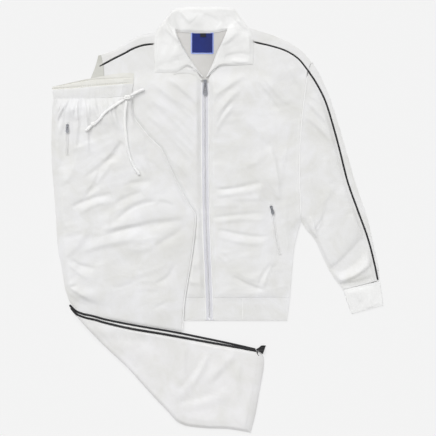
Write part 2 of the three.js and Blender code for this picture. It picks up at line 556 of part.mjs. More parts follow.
function sliderGeometry(size) {
  const plateTop = new THREE.ExtrudeGeometry(rounded(size.wide, size.wide * 0.8, size.long, 1.6), {
    depth: size.plate, bevelEnabled: false, curveSegments: 4 });
  plateTop.translate(0, 0, -PIVOT_HIGH - size.plate);
  const arch = new THREE.Shape();
  const outer = BRIDGE.half + BRIDGE.bar;
  arch.moveTo(-outer, 0);
  arch.lineTo(-outer * 0.85, BRIDGE.high * 0.75);
  arch.lineTo(-outer * 0.5, BRIDGE.high + BRIDGE.bar);
  arch.lineTo(outer * 0.5, BRIDGE.high + BRIDGE.bar);
  arch.lineTo(outer * 0.85, BRIDGE.high * 0.75);
  arch.lineTo(outer, 0);
  arch.lineTo(BRIDGE.half, 0);
  arch.lineTo(BRIDGE.half * 0.85, BRIDGE.high * 0.6);
  arch.lineTo(BRIDGE.half * 0.5, BRIDGE.high);
  arch.lineTo(-BRIDGE.half * 0.5, BRIDGE.high);
  arch.lineTo(-BRIDGE.half * 0.85, BRIDGE.high * 0.6);
  arch.lineTo(-BRIDGE.half, 0);
  const bridge = new THREE.ExtrudeGeometry(arch, { depth: BRIDGE.wide, bevelEnabled: false });
  bridge.rotateX(Math.PI / 2);
  bridge.rotateZ(Math.PI / 2);
  bridge.translate(-BRIDGE.wide / 2, 0, -PIVOT_HIGH - 0.2);
  let body = solid(plateTop).add(solid(bridge));
  if (size.channel) {
    const under = new THREE.ExtrudeGeometry(rounded(size.wide, size.wide * 0.8, size.long, 1.6), {
      depth: 1, bevelEnabled: false, curveSegments: 4 });
    under.translate(0, 0, -PIVOT_HIGH - size.plate - size.channel - 1);
    const neck = new THREE.ExtrudeGeometry(rounded(size.wide * 0.55, size.wide * 0.3, 3.6, 0.8), {
      depth: size.channel + 0.4, bevelEnabled: false, curveSegments: 4 });
    neck.translate(0, size.long / 2 - 2, -PIVOT_HIGH - size.plate - size.channel - 0.2);
    body = body.add(solid(neck)).add(solid(under));
  }
  return meshOf(body);
}

// The pull: a flat tab with a hole for the bridge and, on the long one, a slot
function pullGeometry(size) {
  const bar = 0.6;
  const shape = new THREE.Shape();
  const w1 = size.top / 2;
  const w2 = size.bottom / 2;
  shape.moveTo(-w1 + 1, bar);
  shape.lineTo(w1 - 1, bar);
  shape.quadraticCurveTo(w1, bar, w1, bar - 1);
  shape.lineTo(w2, -size.long + w2);
  shape.absarc(0, -size.long + w2, w2, 0, -Math.PI, true);
  shape.lineTo(-w1, bar - 1);
  shape.quadraticCurveTo(-w1, bar, -w1 + 1, bar);
  const holes = [[1.5, -bar, -bar - 5.4]];
  if (size.slot) holes.push([size.slot[0] / 2, size.slot[1], size.slot[2]]);
  for (const [half, y1, y2] of holes) {
    const hole = new THREE.Path();
    hole.moveTo(-half, y1);
    hole.lineTo(-half, y2);
    hole.lineTo(half, y2);
    hole.lineTo(half, y1);
    hole.lineTo(-half, y1);
    shape.holes.push(hole);
  }
  const geometry = new THREE.ExtrudeGeometry(shape, { depth: 1.2, bevelEnabled: false, curveSegments: 8 });
  geometry.translate(0, 0, -0.6);
  return geometry;
}

const zipSlider = { wide: 9, long: 13, plate: 1.2, channel: 2.3 };
const zipPull = { top: 6.5, bottom: 11, long: 33, slot: [3.2, -11, -23] };
const pocketSlider = { wide: 7, long: 10, plate: 1.6, channel: 0 };
const pocketPull = { top: 5, bottom: 7.6, long: 16.5 };

// Where each slider sits, and which way its pull lies (an angle from straight down)
const SLIDERS = [
  { name: 'zip', x: -34, y: 339, turn: 0, z: FRONT_TOP + 3.95, slider: zipSlider, pull: zipPull },
  { name: 'jacket_pocket', x: 128.6, y: 31, turn: 0.26, z: FRONT_TOP + 4.6, slider: pocketSlider, pull: pocketPull },
  { name: 'trousers_pocket', x: -371, y: 230.5, turn: 0, z: 0, slider: pocketSlider, pull: pocketPull },
];

// Trousers: how high their underside is, lying on the jacket or beside it
function trouserBase(x, y) {
  return OVER_JACKET * smooth(-399, -364, x) * smooth(-298, -262, y);
}

const TROUSER_LEFT = [[-406, 299], [-410, 265], [-411, 234], [-411, 148], [-404, 62], [-401, 11], [-394, -77],
  [-385, -121], [-379, -160], [-371, -188], [-363.7, -204.1]];
const TROUSER_BOTTOM = [[-366, -206.5], [-350, -221.5], [-333, -228.5], [-308, -234], [-279, -242], [-198, -258],
  [-116, -272], [-91, -277]];
const SEAM_LINE = [[-406, 299], [-365, 298.5], [-291, 299], [-233, 303], [-216, 304]];
const trouserShares = 11;
const trouserGrid = fill(along(SEAM_LINE, trouserShares), offset(along(TROUSER_BOTTOM, trouserShares), -pipingHalf),
  along(TROUSER_LEFT, 19), trouserEdge);

function legLift(x, y, folds) {
  const left = smooth(2, 26, x + 411 - Math.max(0, 62 - y) * 0.12);
  const right = smooth(2, 24, trouserEdgeX(y) - x);
  const bottom = smooth(4, 24, y + 180 + (x + 374) * 0.32);
  const pocket = smooth(8, 22, Math.abs(x + 370)) + smooth(250, 268, y) + smooth(150, 120, y);
  return left * right * bottom * Math.min(1, pocket) * (lift(folds, x, y) + 1.4);
}

function round(u, v) {
  return smooth(0, 0.1, Math.min(u, 1 - u)) * smooth(0, 0.04, v + 0.02);
}

const hiddenTop = (x, y, u, v) => trouserBase(x, y) + mix(3.4, WAIST_HIDDEN, round(u, v));
const legUnder = (x, y, u, v) => hiddenTop(x, y, u, v) + GAP + legLift(x, y, LEG_FOLDS) * round(u, v);
const gatherLift = (x, y, u, v) => lift(GATHERS, x, y) * smooth(0, 0.04, v) * round(u, 0.5);
add('trousers_hidden_layers', wall(trouserGrid, trouserBase, hiddenTop, 1.2), shaded);
add('trousers_front_right', wall(trouserGrid, (x, y, u, v) => legUnder(x, y, u, v) + gatherLift(x, y, u, v),
  (x, y, u, v) => legUnder(x, y, u, v) + gatherLift(x, y, u, v) + WALL, 0.5), white);

// Waistband: the front and, above it, the edges of the two back waistbands
const waistRows = [
  along([[-410, 328], [-365, 338], [-299, 352], [-234, 362], [-208, 361]], 16),
  along([[-410, 326], [-365, 334], [-318, 343], [-260, 346], [-209, 348]], 16),
  along([[-409, 321], [-353, 324], [-301, 329], [-236, 334], [-210, 336]], 16),
  along([[-407.5, 310], [-359, 311], [-296, 314], [-235, 318.5], [-213, 320]], 16),
  along([[-406, 299.6], [-365, 299.1], [-291, 299.6], [-233, 303.6], [-216, 304.6]], 16),
];
const waistEnd = (u) => smooth(0, 0.08, Math.min(u, 1 - u));
const waistOne = (x, y, u) => trouserBase(x, y) + 2 + 0.3 * waistEnd(u);
const waistTwo = (x, y, u) => waistOne(x, y, u) + GAP + 2;
const waistWave = (u) => 0.5 * Math.cos(Math.PI * Math.round(u * 16)) * waistEnd(u);
add('trousers_waistband_back_right', wall(waistRows, trouserBase, waistOne, 0.4), white);
add('trousers_waistband_back_left', wall(waistRows.slice(1), (x, y, u) => waistOne(x, y, u) + GAP, waistTwo, 0.4), white);
add('trousers_waistband_front', wall(waistRows.slice(2), (x, y, u) => waistTwo(x, y, u) + GAP,
  (x, y, u) => waistTwo(x, y, u) + GAP + 2.4 + waistWave(u), 0.4), white);

// Lower legs folded over to the front
const UNDER_SEAM = [[-366, -206.5], [-350, -221.5], [-333, -228.5], [-308, -234], [-279, -242], [-198, -258],
  [-116, -272], [-54, -285], [27, -302], [92, -317], [104, -320]];
const OVER_SEAM = [[-364, -215], [-350, -230.5], [-329, -239.3], [-304, -245], [-280, -252], [-218, -266.2],
  [-137, -280], [-55, -295.5], [27, -310], [92, -322.3], [105, -325.5]];
const FOLD_EDGE = [[-361, -220], [-346, -237], [-307, -281], [-268, -320], [-225, -360], [-190, -399], [-151, -442],
  [-127, -467], [-104, -493]];
const LEG_EDGE = [[-104, -493], [-84, -503], [-34, -510], [21, -512], [78, -521]];
const legSteps = 20;
const underRail = offset(along(UNDER_SEAM, legSteps), pipingHalf + 0.6);
const overRail = along(OVER_SEAM, legSteps);
const lowRail = join(along(FOLD_EDGE, 12), along(LEG_EDGE, legSteps - 12));
const HEM_EDGE = [[105, -325.5], [110, -337], [110, -361], [101, -414], [89, -479], [78, -521]];
const hemEdge = along(HEM_EDGE, 100);
const lowShares = [0, 0.06, 0.2, 0.42, 0.65, 0.85, 0.95, 1];
const lowRows = lowShares.map((v, j) => overRail.map((p, i) => {
  const straight = [mix(p[0], lowRail[i][0], v), mix(p[1], lowRail[i][1], v)];
  const end = [mix(overRail[legSteps][0], lowRail[legSteps][0], v), mix(overRail[legSteps][1], lowRail[legSteps][1], v)];
  const target = hemEdge[Math.round(lowShares[j] * 100)];
  const pull = smooth(0.6, 1, i / legSteps);
  return [straight[0] + (target[0] - end[0]) * pull, straight[1] + (target[1] - end[1]) * pull];
}));
const legGrid = [underRail, ...lowRows];

function legsBelow(x, y) {
  return trouserBase(x, y) + 5.2 * smooth(-62, -128, x);
}

const lowRound = (u, v) => smooth(0, 0.05, Math.min(u, 1 - u) + 0.01) * smooth(0, 0.2, Math.min(v, 1 - v) + 0.03);
const lowHidden = (x, y, u, v) => legsBelow(x, y) + mix(2.2, LEG_HIDDEN, lowRound(u, v));
const lowUnder = (x, y, u, v) => lowHidden(x, y, u, v) + GAP;
const LOW_LEG_WALL = 1.2; // the leg underneath is pressed a little thinner

function flapLift(x, y, u, v) {
  return lift(FLAP_FOLDS, x, y) * smooth(0, 0.08, Math.min(u, 1 - u)) * smooth(0, 0.2, Math.min(v, 1 - v));
}

// The leg on top starts one row later than the one underneath
const lowSteps = legGrid.length - 1;
const lowShare = (v) => (1 + v * (lowSteps - 1)) / lowSteps;
const flapUnder = (x, y, u, v) => lowUnder(x, y, u, lowShare(v)) + LOW_LEG_WALL + GAP + flapLift(x, y, u, v);

add('trousers_lower_hidden_layers', wall(legGrid, trouserBase, lowHidden, 1), shaded);
add('trousers_lower_leg_right', wall(legGrid, lowUnder, (x, y, u, v) => lowUnder(x, y, u, v) + LOW_LEG_WALL, 0.5),
  white);
add('trousers_lower_leg_left', wall(legGrid.slice(1), flapUnder, (x, y, u, v) => flapUnder(x, y, u, v) + WALL, 0.5),
  white);

// Trouser piping along the outer seams of the folded legs, and its tail at the hem
function raised(line, height) {
  return line.map(([x, y]) => [x, y, height(x, y)]);
}

const SEAM_STEPS = 30; // the pipings stop one step before the hem
add('trousers_piping_right', oval(raised(along(UNDER_SEAM, SEAM_STEPS).slice(0, SEAM_STEPS),
  (x, y) => legsBelow(x, y) + 2.6), PIPING_WIDE, PIPING_HIGH, 6), black);
add('trousers_piping_left', oval(raised(offset(along(OVER_SEAM, SEAM_STEPS), -pipingHalf - 0.3).slice(0, SEAM_STEPS),
  (x, y) => legsBelow(x, y) + LEG_HIDDEN + 3.6), PIPING_WIDE, PIPING_HIGH, 6), black);

// The loose end of the piping tape, spread over the corner of the hem like a fan
const TAIL_UPPER = [[91, -315.4], [98, -311.6], [104, -306.8], [115.4, -306.6]];
const TAIL_LOWER = [[91.6, -318.6], [97, -320.6], [102, -323.6], [107.5, -327.8]];
const tailUnder = (x, y) => 0.8 + 5.6 * smooth(-312, -319.5, y);
add('trousers_piping_tail', wall(between(along(TAIL_UPPER, 8), along(TAIL_LOWER, 8), [0, 0.25, 0.5, 0.75, 1]),
  tailUnder, (x, y, u) => tailUnder(x, y) + 2 + 0.4 * Math.cos(4 * Math.PI * u)), black);

// The top of the trousers' front panel
function trouserTop(x, y) {
  const gathers = lift(GATHERS, x, y) * smooth(299, 288, y);
  return trouserBase(x, y) + WAIST_HIDDEN + GAP + legLift(x, y, LEG_FOLDS) + gathers + WALL;
}

// Pocket zips: a strip along the opening, then the slider and its pull
function pocketStrip(points, half, height) {
  const line = along(points, 10);
  return wall(between(offset(line, half), offset(line, -half), [0, 0.5, 1]), (x, y) => height(x, y) + 0.4,
    (x, y) => height(x, y) + 1.4, 0);
}

add('jacket_pocket_zip', pocketStrip([[126.5, 42], [132, 12], [137, -22], [142, -56], [150, -84]], 3.4, frontTop),
  lavender);
add('trousers_pocket_zip', pocketStrip([[-371, 241], [-372, 214], [-371, 160]], 3.4, trouserTop), lavender);

for (const item of SLIDERS) {
  const z = item.z || trouserTop(item.x, item.y) + 1.7 + item.slider.plate + PIVOT_HIGH;
  for (const [kind, geometry] of [['slider', sliderGeometry(item.slider)], ['pull', pullGeometry(item.pull)]]) {
    const mesh = add(`${item.name}_${kind}`, geometry, gunmetal);
    mesh.position.set(item.x, item.y, z);
    mesh.rotation.z = item.turn;
  }
}

// Drawstring: a knot at the middle of the front waist and three stretches of cord from it
const KNOT = { x: -224, y: 301, z: 16.1, wide: 9, high: 3.6 };
const STRETCHES = {
  drawstring_left: [[-231.9, 296.1], [-247, 286], [-260, 277], [-277, 265], [-296, 243], [-309, 234], [-326, 218]],
  drawstring_down: [[-225.3, 291.7], [-229, 271], [-230, 236], [-227, 210], [-223, 176], [-215, 147], [-203, 124],
    [-194, 111]],
  drawstring_up: [[-215.7, 305.3], [-203, 315], [-183, 325]],
};

function cordPath(points) {
  const steps = points.length * 3;
  return along(points, steps).map(([x, y], i) => {
    let surface = 0;
    for (const [dx, dy] of [[0, 0], [8, 0], [-8, 0], [0, 8], [0, -8]]) {
      surface = Math.max(surface, trouserTop(Math.min(x + dx, -216), y + dy));
    }
    const start = smooth(6, 0, i);
    return [x, y, mix(surface + CORD_DIAMETER / 2 + 0.5, KNOT.z - 0.4, start)];
  });
}

const knot = new THREE.SphereGeometry(1, 12, 8);
knot.scale(KNOT.wide, KNOT.wide, KNOT.high);
add('drawstring_knot', knot, white).position.set(KNOT.x, KNOT.y, KNOT.z);
for (const [name, points] of Object.entries(STRETCHES)) {
  add(name, oval(cordPath(points), CORD_DIAMETER, CORD_DIAMETER, 8), white);
}

export default group;
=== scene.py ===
import math
from collections import namedtuple

import bpy
import numpy as np
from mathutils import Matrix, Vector


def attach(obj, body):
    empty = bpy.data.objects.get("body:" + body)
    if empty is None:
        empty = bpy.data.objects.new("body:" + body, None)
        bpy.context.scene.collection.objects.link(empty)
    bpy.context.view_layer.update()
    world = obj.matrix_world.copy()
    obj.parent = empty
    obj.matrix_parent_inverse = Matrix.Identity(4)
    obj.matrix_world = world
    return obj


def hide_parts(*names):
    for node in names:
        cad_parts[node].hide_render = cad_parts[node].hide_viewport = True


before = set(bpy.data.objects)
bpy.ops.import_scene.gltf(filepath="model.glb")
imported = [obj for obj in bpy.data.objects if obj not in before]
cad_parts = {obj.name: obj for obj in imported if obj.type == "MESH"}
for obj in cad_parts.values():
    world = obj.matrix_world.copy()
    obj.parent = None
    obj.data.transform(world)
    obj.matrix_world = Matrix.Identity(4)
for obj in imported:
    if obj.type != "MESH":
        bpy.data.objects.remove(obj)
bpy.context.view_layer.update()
ROOT = "garments"

# Millimetres in the outlines' own coordinates, as in the part's source; pieces turn into metres when made
MIDDLE = (-4.15, 1.75)
WALL = 1.5
GAP = 0.35
BACK_TOP = WALL
FRONT = BACK_TOP + GAP + 0.15
FRONT_TOP = FRONT + WALL
OVER_JACKET = FRONT_TOP + 0.6
PIPING_WIDE = 4.2
PIPING_HIGH = 2.8
ZIP_HALF = 7.8
CORD_DIAMETER = 6.0
WAIST_HIDDEN = 5.4
LEG_HIDDEN = 4.6
EDGE_AIR = 0.15
PIPING_HALF = PIPING_WIDE / 2 + 0.2


def metres(x, y, z):
    """A point or points of the outlines in the part's frame."""
    return np.stack([(np.asarray(x) - MIDDLE[0]) / 1000, (np.asarray(y) - MIDDLE[1]) / 1000,
                     np.broadcast_to(z, np.shape(x)) / 1000], axis=-1)


def raised(line, z):
    """The points of a flat line with their heights."""
    return np.column_stack([line, np.broadcast_to(z, len(line))])


# Curves and grids
def smooth(a, b, x):
    t = np.clip((np.asarray(x, float) - a) / (b - a), 0, 1)
    return t * t * (3 - 2 * t)


def mix(a, b, t):
    return a + (b - a) * t


def gone_along(line):
    """How far along a line each of its points lies."""
    return np.concatenate([[0], np.cumsum(np.linalg.norm(np.diff(line, axis=0), axis=1))])


def heading(line):
    """The step from the point before to the point after, at each point of a line."""
    return np.vstack([line[1:], line[-1:]]) - np.vstack([line[:1], line[:-1]])


def along(points, steps):
    """Points in equal steps along a smooth curve through the given points."""
    p = np.array(points, float)
    p = np.vstack([2 * p[0] - p[1], p, 2 * p[-1] - p[-2]])
    fine = [p[1]]
    t = np.linspace(0, 1, 41)[1:, None]
    for k in range(1, len(p) - 2):
        x0, x1, x2, x3 = p[k - 1:k + 3]
        d0, d1, d2 = (max(np.linalg.norm(b - a), 1e-6) ** 0.5 for a, b in ((x0, x1), (x1, x2), (x2, x3)))
        t1 = ((x1 - x0) / d0 - (x2 - x0) / (d0 + d1) + (x2 - x1) / d1) * d1
        t2 = ((x2 - x1) / d1 - (x3 - x1) / (d1 + d2) + (x3 - x2) / d2) * d1
        square, cube = -3 * x1 + 3 * x2 - 2 * t1 - t2, 2 * x1 - 2 * x2 + t1 + t2
        fine.extend(x1 + t1 * t + square * t ** 2 + cube * t ** 3)
    fine = np.array(fine)
    gone = gone_along(fine)
    at = np.linspace(0, gone[-1], steps + 1)
    return np.stack([np.interp(at, gone, fine[:, k]) for k in (0, 1)], axis=-1)


def join(*runs):
    return np.vstack([run if k == 0 else np.asarray(run)[1:] for k, run in enumerate(runs)])


def straight(*points, steps=10):
    """Points in equal numbers along each straight stretch."""
    return join(*(np.stack([np.linspace(a[k], b[k], steps + 1) for k in (0, 1)], axis=-1)
                  for a, b in zip(points[:-1], points[1:])))


def offset(line, distance):
    """A line moved sideways, to the right of its direction for a positive distance."""
    line = np.asarray(line, float)
    step = heading(line)
    step /= np.linalg.norm(step, axis=1)[:, None]
    return line + np.stack([step[:, 1], -step[:, 0]], axis=-1) * distance


def fill(top, bottom, left, right):
    """A grid of points filled in between four edges: rows run from top to bottom."""
    top, bottom, left, right = (np.asarray(e, float) for e in (top, bottom, left, right))
    u = np.linspace(0, 1, len(top))[None, :, None]
    v = np.linspace(0, 1, len(left))[:, None, None]
    return ((1 - v) * top[None] + v * bottom[None] + (1 - u) * left[:, None] + u * right[:, None]
            - (1 - u) * (1 - v) * top[0] - u * (1 - v) * top[-1]
            - (1 - u) * v * bottom[0] - u * v * bottom[-1])


def between(rail_a, rail_b, shares):
    """A grid between two lines. Shares is a number of cells, or the shares of the way across."""
    if isinstance(shares, int):
        shares = np.linspace(0, 1, shares + 1)
    a, b = np.asarray(rail_a, float)[:, None], np.asarray(rail_b, float)[:, None]
    return a + (b - a) * np.asarray(shares, float)[None, :, None]


def crosswise(rail_a, rail_b, cells):
    """The same grid with its rows running the other way."""
    return between(rail_a, rail_b, cells).transpose(1, 0, 2)


def finer(shares, times):
    """Shares of the way across, each step cut into equal smaller ones."""
    last = len(shares) - 1
    return np.interp(np.linspace(0, last, last * times + 1), np.arange(last + 1), shares)


def line_x(line, y):
    """Where a line that runs down the picture stands at each height."""
    line = np.asarray(line, float)
    return np.interp(-np.asarray(y, float), -line[:, 1], line[:, 0])


def seam_y(line, x):
    """Height in the picture of a line that runs across it."""
    line = np.asarray(line, float)
    return np.interp(x, line[:, 0], line[:, 1])


# Materials
def give(tree, socket, value):
    """Sets a socket, or links it where the value is another node's output."""
    if isinstance(value, bpy.types.NodeSocket):
        tree.links.new(value, socket)
    else:
        socket.default_value = value


def node(tree, kind, **values):
    """A new shader node. The values are its settings, or its inputs by their names."""
    made = tree.nodes.new("ShaderNode" + kind)
    for key, value in values.items():
        if hasattr(made, key):
            setattr(made, key, value)
        else:
            give(tree, made.inputs[key.replace("_", " ")], value)
    return made


def reckon(tree, operation, *values):
    made = node(tree, "Math", operation=operation)
    for socket, value in zip(made.inputs, values):
        give(tree, socket, value)
    return made.outputs["Value"]


def texture(tree, kind, place, **values):
    return node(tree, "Tex" + kind, Vector=place, **values).outputs["Fac"]


def ramp(tree, share, colours, places=(0.0, 1.0)):
    made = node(tree, "ValToRGB", Fac=share)
    for element, colour, place in zip(made.color_ramp.elements, colours, places):
        element.position = place
        element.color = (*colour, 1)
    return made.outputs["Color"]


def spread(tree, share, low, high):
    return node(tree, "MapRange", Value=share, To_Min=low, To_Max=high).outputs["Result"]


def bump(tree, height, strength, distance, **values):
    made = node(tree, "Bump", Height=height, Strength=strength, Distance=distance, **values)
    return made.outputs["Normal"]


def material(name, look):
    """A material whose shader takes the values that the look gives for its sockets."""
    made = bpy.data.materials.new(name)
    made.use_nodes = True
    tree = made.node_tree
    place = node(tree, "TexCoord").outputs["Object"]
    for key, value in look(tree, place).items():
        give(tree, tree.nodes["Principled BSDF"].inputs[key], value)
    return made


def knit(name, light, dark, roughness, stitch, depth, sheen=0.1, turn=0.0, glow=0.0):
    """Warp-knit cloth: fine columns of stitches, uneven in colour and gloss. The glow lets light soak in."""
    wave = 1 / stitch / 6.28

    def look(tree, place):
        place = node(tree, "Mapping", Vector=place, Rotation=(0, 0, turn)).outputs["Vector"]
        columns = texture(tree, "Wave", place, bands_direction="X", Scale=wave, Distortion=0.6, Detail=1.0,
                          Detail_Scale=2.0)
        courses = texture(tree, "Wave", place, bands_direction="Y", Scale=0.8 * wave, Distortion=0.8,
                          Detail=1.0)
        fuzz = texture(tree, "Noise", place, Scale=0.9 / stitch, Detail=4.0, Roughness=0.7)
        crease = texture(tree, "Noise", place, Scale=34.0, Detail=5.0, Roughness=0.55, Distortion=0.4)
        patches = texture(tree, "Noise", place, Scale=13.0, Detail=5.0, Roughness=0.62, Distortion=0.5)
        stitched = reckon(tree, "MULTIPLY", columns, courses)
        shade = reckon(tree, "MULTIPLY_ADD", stitched, 0.08, patches)
        coarse = bump(tree, crease, 0.3, 0.002)
        return {
            "Base Color": ramp(tree, shade, (dark, light), (0.34, 0.68)),
            "Normal": bump(tree, reckon(tree, "ADD", stitched, fuzz), 0.5, depth, Normal=coarse),
            "Roughness": spread(tree, patches, roughness - 0.05, roughness + 0.06),
            "Specular IOR Level": 0.4,
            "Sheen Weight": sheen,
            "Sheen Roughness": 0.4,
            "Subsurface Weight": glow,
            "Subsurface Radius": (1.0, 1.0, 1.0),
            "Subsurface Scale": 0.004,
        }
    return material(name, look)


def gunmetal(tree, place):
    """Dark plated metal, brushed by handling and brighter along its edges."""
    marks = texture(tree, "Noise", place, Scale=420.0, Detail=4.0, Roughness=0.6)
    edge = node(tree, "NewGeometry").outputs["Pointiness"]
    return {
        "Base Color": ramp(tree, edge, ((0.14, 0.145, 0.16), (0.55, 0.56, 0.6)), (0.5, 0.62)),
        "Normal": bump(tree, marks, 0.15, 0.0001),
        "Roughness": spread(tree, marks, 0.24, 0.42),
        "Metallic": 0.9,
    }


def tricot(name, light, dark, roughness=0.4, turn=0.0):
    """The garments' own cloth."""
    return knit(name, light, dark, roughness, 0.00075, 0.00012, 0.25, turn)


LIGHT = (0.862, 0.862, 0.872)
DARK = (0.775, 0.772, 0.748)
INNER = (0.0008, 0.00015)
CLOTH = tricot("white_tricot", LIGHT, DARK)
CLOTH_ACROSS = tricot("white_tricot_sleeve", LIGHT, DARK, turn=0.3)
CLOTH_TURNED = tricot("white_tricot_turned_leg", (0.885, 0.88, 0.89), (0.80, 0.795, 0.775), turn=1.35)
CLOTH_COLLAR = tricot("white_tricot_collar", (0.93, 0.93, 0.925), (0.82, 0.82, 0.805), 0.38, turn=0.3)
# Darker grey for the back panel: partly the duller inner face of the cloth, partly painted shade for the
# shade inside the neck opening.
CLOTH_INNER_SHADED = knit("tricot_inner_face_painted_shade", (0.70, 0.69, 0.675), (0.63, 0.62, 0.60), 0.62, *INNER)
# Warmer, darker tone for the waistband's back layers: partly the inside face of the cloth, partly painted
# shade under the edges of the layers in front.
CLOTH_WARM_SHADED = knit("tricot_inside_out_painted_shade", (0.86, 0.855, 0.82), (0.78, 0.77, 0.71), 0.5, *INNER, sheen=0.15)
# Painted shade: a darker, olive-grey copy of the cloth for the right sleeve's top, where the folded sleeve
# lies in shade.
CLOTH_SHADE = knit("tricot_painted_shade", (0.70, 0.70, 0.66), (0.58, 0.58, 0.53), 0.5, *INNER)
RIB = knit("rib_knit", (0.93, 0.93, 0.925), (0.86, 0.86, 0.85), 0.5, 0.0009, 0.0002, sheen=0.2, turn=0.25)
PIPING = knit("black_piping_braid", (0.016, 0.016, 0.018), (0.008, 0.008, 0.009), 0.5, 0.0007, 0.0002)
TAPE = knit("zip_tape_weave", (0.77, 0.77, 0.805), (0.68, 0.68, 0.725), 0.5, 0.0006, 0.0001)
# The coil's near-white colour is painted light: brighter than the tape, to cancel the shade that falls
# between its teeth.
COIL = knit("nylon_coil", (0.99, 0.99, 1.0), (0.94, 0.94, 0.96), 0.45, 0.0005, 0.00005, sheen=0.0, glow=0.6)
LABEL_BLUE = knit("label_weave", (0.003, 0.018, 0.19), (0.002, 0.012, 0.14), 0.6, 0.0005, 0.00012, sheen=0.0)
LABEL_BLACK = knit("tab_weave", (0.006, 0.008, 0.02), (0.004, 0.005, 0.014), 0.6, 0.0005, 0.0001, sheen=0.0)
CORD = knit("braided_cord", (0.95, 0.95, 0.935), (0.90, 0.90, 0.88), 0.6, 0.0009, 0.0002, sheen=0.3, turn=0.7,
            glow=0.9)
CORD_KNOT = knit("braided_cord_knot", (0.97, 0.97, 0.955), (0.92, 0.92, 0.90), 0.6, 0.0009, 0.0002, sheen=0.3)
THREAD = knit("sewing_thread", (0.88, 0.88, 0.88), (0.83, 0.83, 0.83), 0.5, 0.0004, 0.00005)
# Painted highlight: a white brighter than the cloth, laid as thin ridges along folded edges and seams where
# light catches them.
EDGE_HIGHLIGHT = knit("painted_edge_highlight", (0.985, 0.985, 0.98), (0.95, 0.95, 0.945), 0.4, 0.0005, 0.00008,
                  sheen=0.2)
EDGE_THREAD = knit("label_edge_thread", (0.45, 0.55, 0.98), (0.34, 0.44, 0.95), 0.5, 0.0004, 0.00005)
METAL = material("gunmetal_plating", gunmetal)


# Making pieces
def in_scene(name, data):
    made = bpy.data.objects.new(name, data)
    bpy.context.scene.collection.objects.link(made)
    return made


def piece(name, points, quads, look, nodes=(), triangles=()):
    """A smooth mesh from points in millimetres. It takes the place of the nodes that are named."""
    sizes = np.array([4] * len(quads) + [3] * len(triangles))
    loops = np.concatenate([np.ravel(quads), np.ravel(triangles)]).astype(np.int32)
    mesh = bpy.data.meshes.new(name)
    mesh.vertices.add(len(points))
    mesh.vertices.foreach_set("co", metres(*np.transpose(points)).ravel())
    mesh.loops.add(len(loops))
    mesh.loops.foreach_set("vertex_index", loops)
    mesh.polygons.add(len(sizes))
    mesh.polygons.foreach_set("loop_start", np.cumsum(sizes) - sizes)
    mesh.polygons.foreach_set("loop_total", sizes)
    mesh.polygons.foreach_set("use_smooth", np.full(len(sizes), True))
    mesh.update(calc_edges=True)
    mesh.validate()
    mesh.materials.append(look)
    made = in_scene(name, mesh)
    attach(made, ROOT)
    if nodes:
        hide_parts(*nodes)
    return made


def ring_faces(first, rings, sides):
    """Faces between rings of points that are numbered one after the other."""
    index = first + np.arange(rings * sides).reshape(rings, sides)
    after = np.roll(index, -1, axis=1)
    return np.stack([index[:-1], index[1:], after[1:], after[:-1]], axis=-1).reshape(-1, 4)


# Each side of a grid, by the first letter of left, right, top or bottom, and the row of points inside it
SIDES = {"l": (np.s_[:, 0], np.s_[:, 1]), "r": (np.s_[:, -1], np.s_[:, -2]), "t": (np.s_[0], np.s_[1]),
         "b": (np.s_[-1], np.s_[-2])}
EDGE_ROW = 0.9  # distance of the extra row of points beside each edge


def inset(grid, distance, sewn=""):
    """The outer points drawn in, except along the sides that are sewn."""
    moved = grid.copy()
    for side, (edge, inner) in SIDES.items():
        if side not in sewn:
            step = grid[inner] - grid[edge]
            length = np.maximum(np.linalg.norm(step, axis=-1, keepdims=True), 1e-9)
            moved[edge] += step / length * np.minimum(distance, length * 0.45)
    return moved


def with_edge_rows(grid):
    """Adds a row of points close beside each edge; also gives every point's shares across and down."""
    def places(count, first, last):
        near, far = (min(EDGE_ROW / max(np.linalg.norm(grid[edge] - grid[inner], axis=-1).mean(), 1e-6), 0.4)
                     for edge, inner in (SIDES[first], SIDES[last]))
        return np.concatenate([[0, near], np.arange(1, count - 1), [count - 1 - far, count - 1]])

    def parts(place, count):
        low = np.minimum(place.astype(int), count - 2)
        return low, place - low

    rows, columns = grid.shape[:2]
    down, sideways = places(rows, "t", "b"), places(columns, "l", "r")
    low, part = parts(down, rows)
    grid = mix(grid[low], grid[low + 1], part[:, None, None])
    low, part = parts(sideways, columns)
    grid = mix(grid[:, low], grid[:, low + 1], part[None, :, None])
    u, v = np.meshgrid(sideways / (columns - 1), down / (rows - 1))
    return grid, u, v


def heights(face, grid, u, v):
    """A face's heights over a grid. The face is a number or a function."""
    if callable(face):
        face = face(grid[..., 0], grid[..., 1], u, v)
    return np.array(np.broadcast_to(face, u.shape), float)


ROUND_SHARE, ROUND_MOST = 0.3, 0.45  # how far a free edge is rounded: share of the thickness, and millimetres
BEVEL = 0.72  # how far up and down from the middle the rounding's own rows of points lie


